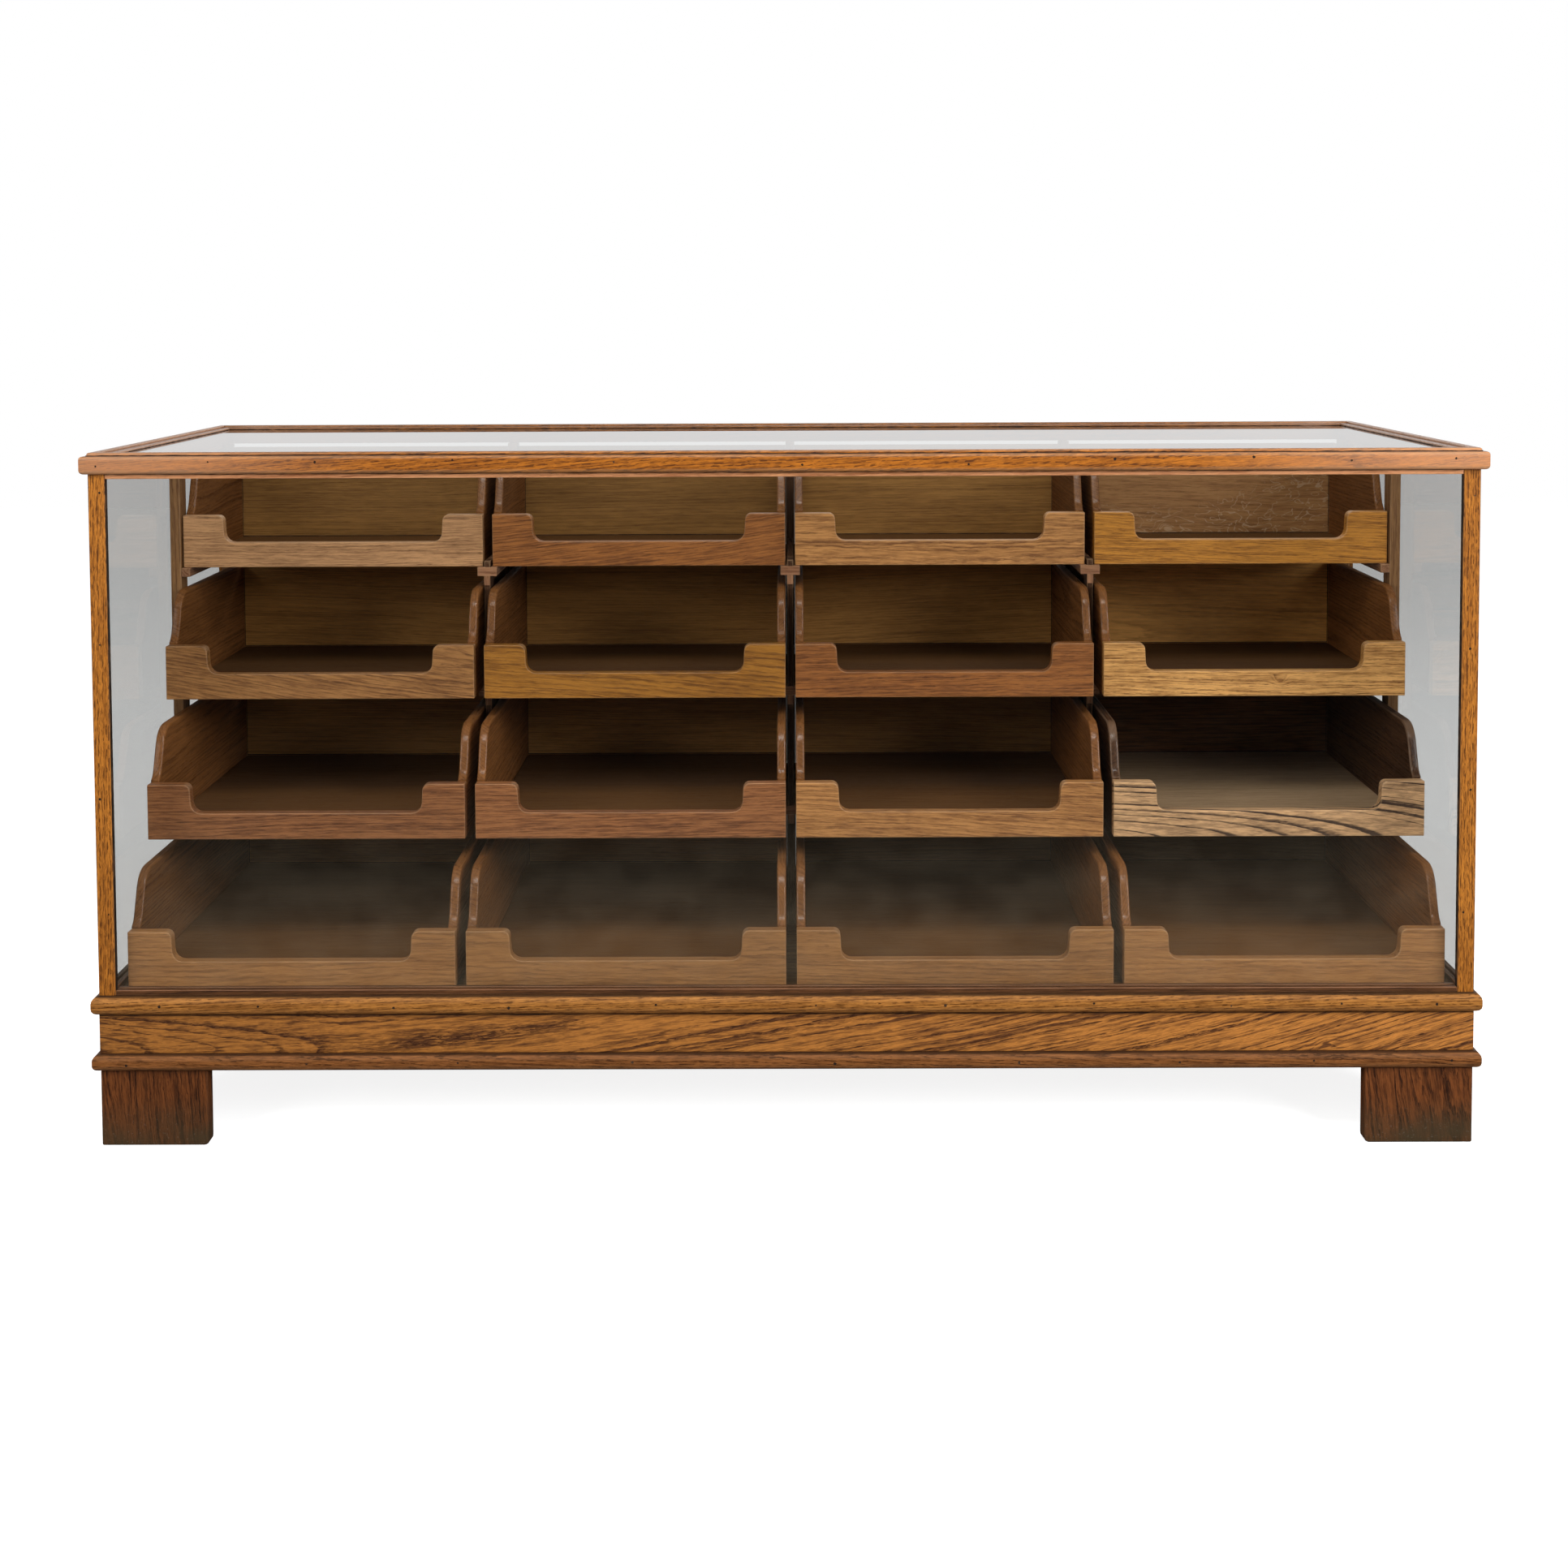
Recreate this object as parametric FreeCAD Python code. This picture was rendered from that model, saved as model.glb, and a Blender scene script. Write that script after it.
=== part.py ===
"""Oak haberdashery counter, glazed on top, front and ends, with sixteen open-fronted drawers.

Millimetres. X runs along the counter, the glazed front faces -Y, the drawers draw out at the
back along +Y, and Z is up. The origin is on the floor at the middle of the counter.
"""
import FreeCAD, Part
import math
import os

# Overall size, measured over the top.
top_width = 1829.0
top_depth = 610.0
height = 920.0
overhang = 8.5            # of the top and of both plinth mouldings over the body

# Heights of the plinth, from the floor up.
foot_height = 102.0
lower_moulding_height = 22.0
frieze_height = 53.0
sill_height = 25.0

# The top frame.
rail_face = 23.5          # height of the rail's nosing
rail_width = 30.0
lip_height = 4.5
lip_inset = 8.0
lip_width = 10.0
ledge_drop = 12.0         # from the lip's top down to the ledge under the glass
top_glass_thickness = 6.0
top_glass_play = 0.5
top_bead_gap = 2.0        # the groove between the lip and its glazing bead
top_bead_height = 3.2
nosing_lower_radius = 4.0
nosing_upper_radius = 3.0
lip_outer_radius = 2.5
lip_inner_radius = 2.0
top_bead_outer_radius = 1.0
top_bead_inner_radius = 2.0

# Plinth boards.
moulding_depth = 37.5     # from the nosing's tip inwards
moulding_rounding = 0.36  # radius of its outer edges over its height
board_thickness = 22.0
rear_sill_depth = 40.0
floor_thickness = 13.0
bearer_width = 25.0
foot_width = 142.0
glue_block = 40.0
glue_block_clearance = 3.0  # between the glue block and the floor

# Posts and glazing.
post_size = 22.0
post_flange = 8.5
post_side_flange = 8.0
glass_thickness = 4.0
glass_play = 0.5
bead_height = 6.5
bead_thickness = 6.5
corner_bead = 4.0         # width of the upright beads in the posts' corners
bead_setback = 1.5        # of the outer beads behind the posts' faces

# Drawer rows from the top one down, and columns from the left.
row_count = 4
row_pitch = 175.8
lowest_row_bottom = 203.0
lowest_row_recess = 32.0  # of the lowest fronts behind the top's front edge
row_step_back = 90.0      # each row stands this much further back than the one below
column_widths = (436.0, 426.0, 421.0, 425.0)
column_gap = 14.0
drawer_back = 277.0

# One drawer.
front_thickness = 16.0
front_height = 76.0
scoop_height = 36.0       # height of the front's low middle
shoulder_top = 58.0       # width of the front's high ends at their tops
shoulder_slant = 2.0      # and how much wider they are at the scoop's foot
shoulder_radius = 9.0
scoop_radius = 14.0
side_thickness = 12.0
side_height = 147.0
side_front_height = 79.0
side_curve = ((24.0, 85.0, 24.0), (47.0, side_height, 34.0))  # (behind the front, height, radius)
back_thickness = 12.0
back_height = 156.0       # the backs are the shop side's drawer faces and nearly fill the rows
bottom_thickness = 6.0
bottom_raise = 8.0

# Uprights and runners.
side_upright = 15.0
centre_upright = 9.0
rear_centre_upright = 13.0  # the rear ones nearly fill the gap between two columns
upright_depth = 30.0
upright_front = -9.0
runner_height = 13.0
ledger_width = 9.5
side_runner_width = 13.0
nib_height = 9.0

# Cup pulls.
pull_half_length = 42.0
pull_reach = 21.0
pull_wall = 2.0
pull_end_angle = 8.0      # where the cup's ellipse stops at each ear, in degrees
pull_height = 66.0        # of its lower edge above the drawer's bottom edge
ear_radius = 7.0
ear_thickness = 1.6
ear_spacing = 92.0
screw_head_radius = 3.6
screw_head_height = 1.4

half_width = top_width / 2
half_depth = top_depth / 2
body_x = half_width - overhang
body_y = half_depth - overhang
frieze_bottom = foot_height + lower_moulding_height
sill_bottom = frieze_bottom + frieze_height
sill_top = sill_bottom + sill_height
rail_bottom = height - lip_height - rail_face
floor_top = sill_bottom + floor_thickness
sill_x = half_width - moulding_depth
sill_y = half_depth - moulding_depth
rear_sill_y = body_y - rear_sill_depth
post_x = body_x - post_size
post_y = body_y - post_size
glass_x = body_x - post_side_flange       # outer faces of the end glasses
glass_y = body_y - post_flange            # outer face of the front glass
side_rear_front = post_y - upright_depth  # front face of the rear uprights at the ends
centre_rear_front = glass_y - upright_depth  # and between the columns
drawers_x = (sum(column_widths) + column_gap * (len(column_widths) - 1)) / 2


def point(x, y, z):
    return FreeCAD.Vector(x, y, z)


def box(low, high):
    """A block between two opposite corners."""
    size = [b - a for a, b in zip(low, high)]
    return Part.makeBox(size[0], size[1], size[2], point(*low))


def mirror_x(shape):
    return shape.mirror(point(0, 0, 0), point(1, 0, 0))


def mirror_y(shape):
    return shape.mirror(point(0, 0, 0), point(0, 1, 0))


def both_ends(shape):
    """The shape and its mirror image at the other end of the counter."""
    return [shape, mirror_x(shape)]


def rounded_face(corners, place):
    """A flat face from (a, b, radius) corners, each rounded to its radius, set in space by place(a, b)."""
    edges = []
    ends = []
    for index, (a, b, radius) in enumerate(corners):
        before = corners[index - 1]
        after = corners[(index + 1) % len(corners)]
        to_before = FreeCAD.Vector(before[0] - a, before[1] - b, 0).normalize()
        to_after = FreeCAD.Vector(after[0] - a, after[1] - b, 0).normalize()
        here = FreeCAD.Vector(a, b, 0)
        if not radius:
            ends.append((here, here))
            continue
        half = to_before.getAngle(to_after) / 2
        reach = radius / math.tan(half)
        bisector = (to_before + to_after).normalize()
        middle = here + bisector * (radius / math.sin(half) - radius)
        start = here + to_before * reach
        finish = here + to_after * reach
        edges.append(Part.Arc(place(start.x, start.y), place(middle.x, middle.y),
                              place(finish.x, finish.y)).toShape())
        ends.append((start, finish))
    for index, (_, leave) in enumerate(ends):
        arrive = ends[(index + 1) % len(ends)][0]
        if (arrive - leave).Length > 1e-6:
            edges.append(Part.LineSegment(place(leave.x, leave.y), place(arrive.x, arrive.y)).toShape())
    return Part.Face(Part.Wire(Part.sortEdges(edges)[0]))


def plan_cut(shape, corners):
    """The part of a shape that lies inside a plan outline."""
    outline = [point(x, y, 0) for x, y in corners]
    outline.append(outline[0])
    prism = Part.Face(Part.makePolygon(outline)).extrude(point(0, 0, height + 1))
    return shape.common(prism).Solids[0]


def front_member(profile, depth):
    """A moulded length along the front, mitred at both ends; profile holds (inwards, height, radius)."""
    face = rounded_face(profile, lambda inwards, z: point(-half_width, inwards - half_depth, z))
    length = face.extrude(point(top_width, 0, 0))
    return plan_cut(length, [(-half_width, -half_depth), (half_width, -half_depth),
                             (half_width - depth, depth - half_depth),
                             (depth - half_width, depth - half_depth)])


def end_member(profile, depth, rear, mitred_rear):
    """A moulded length along the left end, mitred in front and, if asked, behind."""
    face = rounded_face(profile, lambda inwards, z: point(inwards - half_width, -half_depth, z))
    length = face.extrude(point(0, rear + half_depth, 0))
    inner_rear = rear - depth if mitred_rear else rear
    return plan_cut(length, [(-half_width, -half_depth), (depth - half_width, depth - half_depth),
                             (depth - half_width, inner_rear), (-half_width, rear)])


def torus_profile(bottom, top, depth):
    """A board with both outer edges well rounded."""
    radius = (top - bottom) * moulding_rounding
    return [(0, bottom, radius), (0, top, radius), (depth, top, 0), (depth, bottom, 0)]


def save(name, solids):
    for solid in solids:
        if not solid.isValid() or solid.Volume <= 0:
            raise ValueError("bad solid in " + name)
    shape = solids[0] if len(solids) == 1 else Part.makeCompound(solids)
    shape.exportStep(os.path.join("parts", name + ".step"))


# Plinth

def foot():
    """The front left bracket foot: a front board, an end board and the block glued in their corner."""
    inner_x = board_thickness - body_x
    inner_y = board_thickness - body_y
    front = box((-body_x, -body_y, 0), (foot_width - body_x, inner_y, foot_height))
    end = box((-body_x, inner_y, 0), (inner_x, foot_width - body_y, foot_height))
    block = box((inner_x, inner_y, glue_block_clearance),
                (inner_x + glue_block, inner_y + glue_block, foot_height))
    return [front, end, block]


def make_plinth():
    front_left = foot()
    save("foot_front_left", front_left)
    save("foot_front_right", [mirror_x(board) for board in front_left])
    rear_left = [mirror_y(board) for board in front_left]
    save("foot_rear_left", rear_left)
    save("foot_rear_right", [mirror_x(board) for board in rear_left])

    front_rail = box((-body_x, -body_y, frieze_bottom), (body_x, -post_y, sill_bottom))
    end_rail = box((-body_x, -post_y, frieze_bottom), (-post_x, post_y, sill_bottom))
    save("plinth_front_rail", [front_rail])
    save("plinth_rear_rail", [mirror_y(front_rail)])
    save("plinth_side_rails", both_ends(end_rail))

    for name, bottom, top in (("lower_moulding", foot_height, frieze_bottom),
                              ("upper_moulding", sill_bottom, sill_top)):
        profile = torus_profile(bottom, top, moulding_depth)
        front = front_member(profile, moulding_depth)
        ends = both_ends(end_member(profile, moulding_depth, body_y, False))
        rear = box((-sill_x, rear_sill_y, bottom), (sill_x, body_y, top))
        save(name, [front] + ends + [rear])

    save("floor_board", [box((-sill_x, -sill_y, sill_bottom), (sill_x, rear_sill_y, floor_top))])
    save("floor_bearers", [box((x - bearer_width / 2, -post_y, frieze_bottom),
                               (x + bearer_width / 2, post_y, sill_bottom)) for x in gap_centres()])


# Posts and glazing

def angle_post(y_side):
    """A left-hand corner post of L section, rebated for the glass; y_side is -1 in front, 1 behind."""
    outline = [(-body_x, y_side * body_y), (-post_x, y_side * body_y), (-post_x, y_side * glass_y),
               (-glass_x, y_side * glass_y), (-glass_x, y_side * post_y), (-body_x, y_side * post_y)]
    corners = [point(x, y, sill_top) for x, y in outline]
    corners.append(corners[0])
    return Part.Face(Part.makePolygon(corners)).extrude(point(0, 0, rail_bottom - sill_top))


def make_posts():
    save("front_posts", both_ends(angle_post(-1)))
    save("rear_posts", both_ends(angle_post(1)))
    inner_x = glass_x - glass_thickness
    inner_y = glass_y - glass_thickness
    bead_x = corner_bead - inner_x
    front_bead = box((-inner_x, -inner_y, sill_top), (bead_x, -post_y, rail_bottom))
    rear_bead = box((-inner_x, post_y, sill_top), (bead_x, glass_y, rail_bottom))
    save("post_beads", both_ends(front_bead) + both_ends(rear_bead))


def glazing_beads(bottom):
    """Beads each side of the front and end glasses, along the sill or under the top."""
    top = bottom + bead_height
    inner_y = glass_y - glass_thickness
    inner_x = glass_x - glass_thickness
    outer_front = box((-post_x, bead_setback - body_y, bottom), (post_x, -glass_y, top))
    inner_front = box((-post_x, -inner_y, bottom), (post_x, bead_thickness - inner_y, top))
    outer_end = box((bead_setback - body_x, -post_y, bottom), (-glass_x, post_y, top))
    spans = ((-post_y, upright_front), (upright_front + upright_depth, side_rear_front))
    inner_ends = [box((-inner_x, start, bottom), (bead_thickness - inner_x, end, top))
                  for start, end in spans]
    beads = [outer_front, inner_front] + both_ends(outer_end)
    for bead in inner_ends:
        beads += both_ends(bead)
    return beads


def make_glazing():
    save("lower_glazing_beads", glazing_beads(sill_top))
    save("upper_glazing_beads", glazing_beads(rail_bottom - bead_height))
    glass_top = rail_bottom - glass_play
    front_half = glass_x - glass_play
    inner_y = glass_y - glass_thickness
    save("front_glass", [box((-front_half, -glass_y, sill_top), (front_half, -inner_y, glass_top))])
    left = box((-glass_x, glass_play - inner_y, sill_top),
               (glass_thickness - glass_x, glass_y - glass_play, glass_top))
    save("side_glass_left", [left])
    save("side_glass_right", [mirror_x(left)])


# Top

def make_top():
    nosing_top = rail_bottom + rail_face
    ledge = height - ledge_drop
    lip_inner = lip_inset + lip_width
    profile = [(0, rail_bottom, nosing_lower_radius), (0, nosing_top, nosing_upper_radius),
               (lip_inset, nosing_top, 0), (lip_inset, height, lip_outer_radius),
               (lip_inner, height, lip_inner_radius), (lip_inner, ledge, 0),
               (rail_width, ledge, 0), (rail_width, rail_bottom, 0)]
    front = front_member(profile, rail_width)
    end = end_member(profile, rail_width, half_depth, True)
    save("top_front_rail", [front])
    save("top_rear_rail", [mirror_y(front)])
    save("top_side_rails", both_ends(end))

    glass_inset = lip_inner + top_glass_play
    glass_upper = ledge + top_glass_thickness
    save("top_glass", [box((glass_inset - half_width, glass_inset - half_depth, ledge),
                           (half_width - glass_inset, half_depth - glass_inset, glass_upper))])

    bead_outer = lip_inner + top_bead_gap
    bead_top = glass_upper + top_bead_height
    bead = [(bead_outer, glass_upper, 0), (bead_outer, bead_top, top_bead_outer_radius),
            (rail_width, bead_top, top_bead_inner_radius), (rail_width, glass_upper, 0)]
    front = front_member(bead, rail_width)
    end = end_member(bead, rail_width, half_depth, True)
    save("top_glass_beads", [front, mirror_y(front)] + both_ends(end))


# Uprights and runners

def column_edges():
    """Left and right edge of each column of drawers."""
    edges = []
    left = -drawers_x
    for width in column_widths:
        edges.append((left, left + width))
        left += width + column_gap
    return edges


def gap_centres():
    """Middle of each gap between two columns."""
    return [right + column_gap / 2 for _, right in column_edges()[:-1]]


def row_bottom(row):
    return lowest_row_bottom + (row_count - row) * row_pitch


def runner_rear(row):
    """The lowest runners stop at the rear sill, the others reach the drawers' backs."""
    return rear_sill_y if row == row_count else drawer_back


def make_uprights():
    outer = side_upright + sill_x
    ends = []
    for start in (upright_front, side_rear_front):
        ends += both_ends(box((-outer, start, sill_top), (-sill_x, start + upright_depth, rail_bottom)))
    save("side_uprights", ends)

    middles = []
    front_top = row_bottom(1) + nib_height
    for x in gap_centres():
        half = centre_upright / 2
        middles.append(box((x - half, upright_front, floor_top),
                           (x + half, upright_front + upright_depth, front_top)))
        half = rear_centre_upright / 2
        middles.append(box((x - half, centre_rear_front, sill_top),
                           (x + half, centre_rear_front + upright_depth, rail_bottom)))
    save("centre_uprights", middles)


def make_runners():
    side_runners = []
    centre_runners = []
    half = centre_upright / 2
    for row in range(1, row_count + 1):
        top = row_bottom(row)
        bottom = top - runner_height
        rear = runner_rear(row)
        side_runners += both_ends(box((-sill_x, upright_front, bottom),
                                      (side_runner_width - sill_x, rear, top)))
        end = min(rear, centre_rear_front)
        for x in gap_centres():
            for left in (x - half - ledger_width, x + half):
                centre_runners.append(box((left, upright_front, bottom), (left + ledger_width, end, top)))
            centre_runners.append(box((x - half, upright_front + upright_depth, bottom),
                                      (x + half, end, top + nib_height)))
    save("side_runners", side_runners)
    save("centre_runners", centre_runners)


# Drawers

def scooped_front(left, right, front, bottom):
    """The low front board: high shoulders at its ends and a low scoop between them."""
    low = bottom + scoop_height
    high = bottom + front_height
    foot = shoulder_top + shoulder_slant
    outline = [(left, bottom, 0), (left, high, 0),
               (left + shoulder_top, high, shoulder_radius), (left + foot, low, scoop_radius),
               (right - foot, low, scoop_radius), (right - shoulder_top, high, shoulder_radius),
               (right, high, 0), (right, bottom, 0)]
    face = rounded_face(outline, lambda x, z: point(x, front, z))
    return face.extrude(point(0, front_thickness, 0))


def curved_side(x, front, bottom):
    """A side board, whose top sweeps down to the front; x is its left face."""
    rise = [(front + behind, bottom + up, radius) for behind, up, radius in side_curve]
    start = front + front_thickness
    rear = drawer_back - back_thickness
    outline = [(start, bottom, 0), (start, bottom + side_front_height, 0)] + rise
    outline += [(rear, bottom + side_height, 0), (rear, bottom, 0)]
    face = rounded_face(outline, lambda y, z: point(x, y, z))
    return face.extrude(point(side_thickness, 0, 0))


def drawer(row, left, right):
    front = lowest_row_recess + (row_count - row) * row_step_back - half_depth
    bottom = row_bottom(row)
    inner_left = left + side_thickness
    inner_right = right - side_thickness
    inner_front = front + front_thickness
    inner_back = drawer_back - back_thickness
    low = bottom + bottom_raise
    return [scooped_front(left, right, front, bottom),
            curved_side(left, front, bottom),
            curved_side(inner_right, front, bottom),
            box((left, inner_back, bottom), (right, drawer_back, bottom + back_height)),
            box((inner_left, inner_front, low), (inner_right, inner_back, low + bottom_thickness))]


def cup_pull(x, bottom):
    """A cup pull, open below, with two screwed ears; x is its middle, bottom the drawer's bottom edge."""
    axis_z = bottom + pull_height
    middle = point(x, drawer_back, axis_z)
    stop = math.radians(pull_end_angle)
    arcs = []
    for inset in (0, pull_wall):
        curve = Part.Ellipse(middle, pull_half_length - inset, pull_reach - inset)
        arcs.append(Part.ArcOfEllipse(curve, stop, math.pi - stop).toShape())
    ends = [arc.Vertexes for arc in arcs]
    edges = arcs + [Part.LineSegment(ends[0][i].Point, ends[1][i].Point).toShape() for i in (0, 1)]
    cup = Part.Face(Part.Wire(Part.sortEdges(edges)[0])).revolve(middle, point(1, 0, 0), 90)
    screws = []
    for side in (-1, 1):
        ear_x = x + side * ear_spacing / 2
        ear_z = axis_z + ear_radius
        centre = point(ear_x, drawer_back, ear_z)
        ear = Part.makeCylinder(ear_radius, ear_thickness, centre, point(0, 1, 0))
        cup = cup.fuse(ear)
        head = point(ear_x, drawer_back + ear_thickness, ear_z)
        screws.append(Part.makeCylinder(screw_head_radius, screw_head_height, head, point(0, 1, 0)))
    return [cup.removeSplitter().Solids[0]] + screws


def make_drawers():
    for row in range(1, row_count + 1):
        for column, (left, right) in enumerate(column_edges(), 1):
            place = "row%d_col%d" % (row, column)
            save("drawer_" + place, drawer(row, left, right))
            save("pull_" + place, cup_pull((left + right) / 2, row_bottom(row)))


os.makedirs("parts", exist_ok=True)
make_plinth()
make_posts()
make_glazing()
make_top()
make_uprights()
make_runners()
make_drawers()
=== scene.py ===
import math
import random

import bmesh
import bpy
from mathutils import Matrix, Vector


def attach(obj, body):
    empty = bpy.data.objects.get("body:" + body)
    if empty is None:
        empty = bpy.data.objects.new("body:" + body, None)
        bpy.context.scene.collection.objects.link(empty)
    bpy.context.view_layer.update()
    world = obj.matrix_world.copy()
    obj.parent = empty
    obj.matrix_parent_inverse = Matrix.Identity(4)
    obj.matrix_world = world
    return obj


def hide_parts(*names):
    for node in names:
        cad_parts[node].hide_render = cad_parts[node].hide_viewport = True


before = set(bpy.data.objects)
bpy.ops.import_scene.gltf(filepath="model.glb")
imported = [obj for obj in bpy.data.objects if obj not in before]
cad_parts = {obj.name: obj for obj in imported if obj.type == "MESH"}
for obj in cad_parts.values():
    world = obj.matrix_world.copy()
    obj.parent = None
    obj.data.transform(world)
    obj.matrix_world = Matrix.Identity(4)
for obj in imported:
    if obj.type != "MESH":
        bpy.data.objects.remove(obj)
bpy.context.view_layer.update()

dice = random.Random(1907)  # the grain and nails of every board come from here, in order
crumbs = random.Random(88)  # and the ragged edges of the dirt from here


def newObject(name, data):
    thing = bpy.data.objects.new(name, data)
    bpy.context.scene.collection.objects.link(thing)
    return thing


# the camera

shot = {
    "place": (0.0113, -2.8210, 1.1059),
    "yaw": -0.229,            # degrees to the right of straight ahead
    "pitch": 2.91,            # degrees down
    "roll": -0.236,
    "focal": 2400.7,          # in pixels of the picture below
    "principalY": 500.2,
    "pictureSize": 1932,
    "sensor": 36.0,
    "clipEnd": 60,
}


def makeCamera():
    yaw, pitch, roll = (math.radians(shot[name]) for name in ("yaw", "pitch", "roll"))
    forward = Vector((math.sin(yaw) * math.cos(pitch), math.cos(yaw) * math.cos(pitch),
                      -math.sin(pitch)))
    level = Vector((math.cos(yaw), -math.sin(yaw), 0))
    upright = level.cross(forward)
    right = level * math.cos(roll) + upright * math.sin(roll)
    up = upright * math.cos(roll) - level * math.sin(roll)
    data = bpy.data.cameras.new("camera")
    data.sensor_width = shot["sensor"]
    data.lens = shot["focal"] / shot["pictureSize"] * shot["sensor"]
    data.shift_y = (shot["principalY"] - shot["pictureSize"] / 2) / shot["pictureSize"]
    data.clip_end = shot["clipEnd"]
    camera = newObject("camera", data)
    turn = Matrix((right, up, -forward)).transposed().to_4x4()
    camera.matrix_world = Matrix.Translation(shot["place"]) @ turn
    bpy.context.scene.camera = camera


makeCamera()
print("camera placed")


# short ways to add and join shader nodes

def feed(source, target):     # source is another node's output, or a plain value
    if isinstance(source, bpy.types.NodeSocket):
        target.id_data.links.new(source, target)
    elif target.type == "RGBA" and len(source) == 3:
        target.default_value = (*source, 1)
    else:
        target.default_value = source


def addNode(tree, kind, inputs=(), **settings):       # inputs come in order, or by name
    node = tree.nodes.new("ShaderNode" + kind)
    for name, value in settings.items():
        setattr(node, name, value)
    for label, source in inputs.items() if isinstance(inputs, dict) else enumerate(inputs):
        feed(source, node.inputs[label])
    return node


def joined(kind, inputs, **settings):                 # in the tree that its inputs come from
    sources = inputs.values() if isinstance(inputs, dict) else inputs
    tree = next(source.id_data for source in sources if isinstance(source, bpy.types.NodeSocket))
    return addNode(tree, kind, inputs, **settings).outputs


def sums(operation, *values, clamp=False):
    return joined("Math", values, operation=operation, use_clamp=clamp)[0]


def times(first, second, clamp=False):
    return sums("MULTIPLY", first, second, clamp=clamp)


def timesPlus(first, second, third):
    return sums("MULTIPLY_ADD", first, second, third)


def minus(first, second):
    return sums("SUBTRACT", first, second)


def vectors(operation, *values, output="Vector"):
    return joined("VectorMath", values, operation=operation)[output]


def stretch(vector, scale):
    return vectors("MULTIPLY", vector, scale)


def parts(vector):
    return joined("SeparateXYZ", (vector,))


def cloud(vector, scale, detail=2.0, distortion=0.0, output="Fac"):
    return joined("TexNoise", {"Vector": stretch(vector, scale), "Scale": 1, "Detail": detail,
                               "Distortion": distortion})[output]


def fade(value, start, end, fromValue=0.0, toValue=1.0):      # an eased step from start to end
    return joined("MapRange", (value, start, end, fromValue, toValue),
                  interpolation_type="SMOOTHSTEP")[0]


def blend(factor, first, second, mode="MIX"):         # the numbers are the node's colour sockets
    return joined("Mix", {0: factor, 6: first, 7: second}, data_type="RGBA", blend_type=mode,
                  clamp_factor=True)[2]


def attribute(tree, name, output="Fac"):
    return addNode(tree, "Attribute", attribute_name=name).outputs[output]


def objectPlace(tree):
    return addNode(tree, "TexCoord").outputs["Object"]


def facing(tree):
    return parts(addNode(tree, "NewGeometry").outputs["Normal"])


def startGroup(name, inputs, outputs):                # the sockets' names stand under their kinds
    tree = bpy.data.node_groups.new(name, "ShaderNodeTree")
    for way, kinds in (("INPUT", inputs), ("OUTPUT", outputs)):
        for kind, labels in kinds.items():
            for label in labels:
                tree.interface.new_socket(label, in_out=way, socket_type="NodeSocket" + kind)
    return tree, tree.nodes.new("NodeGroupInput").outputs, tree.nodes.new("NodeGroupOutput").inputs


def useGroup(tree, group, **values):
    return addNode(tree, "Group", values, node_tree=group).outputs


# effects that several materials share

grainSizes = {                # how many to a metre: along the board, across it and through it
    "bends": (((1.4, 4, 4), 1, 0.020), ((8, 34, 34), 3, 0.0048), ((48, 240, 240), 2, 0.0016)),
    "coarsePores": (85, 640, 640), "finePores": (150, 1500, 1500),
    "fibres": (16, 260, 260), "threads": (45, 700, 700),
    "streaks": (2.5, 75, 75), "blotches": (3.2, 11, 11), "flecks": (34, 62, 62),
}
grainColours = {"fleck": (0.72, 0.55, 0.36), "pore": (0.30, 0.24, 0.20)}
grainHabits = {
    "goodYears": 95.0,        # how often wide rings change to narrow ones, to a metre
    "yearShift": 2.0,
    "knotSwell": 2.6, "knotReach": 4.5, "knotDark": 1.2,
    "crownRings": 1.5, "crownDark": 0.35,             # for each metre beyond the crown
    "poresInSpring": 0.85, "finePores": 0.6,
    "streaks": 0.7, "threads": 0.8, "tone": 0.26,
    "poreDepth": -0.8, "fibreHeight": 0.35,
}


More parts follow.
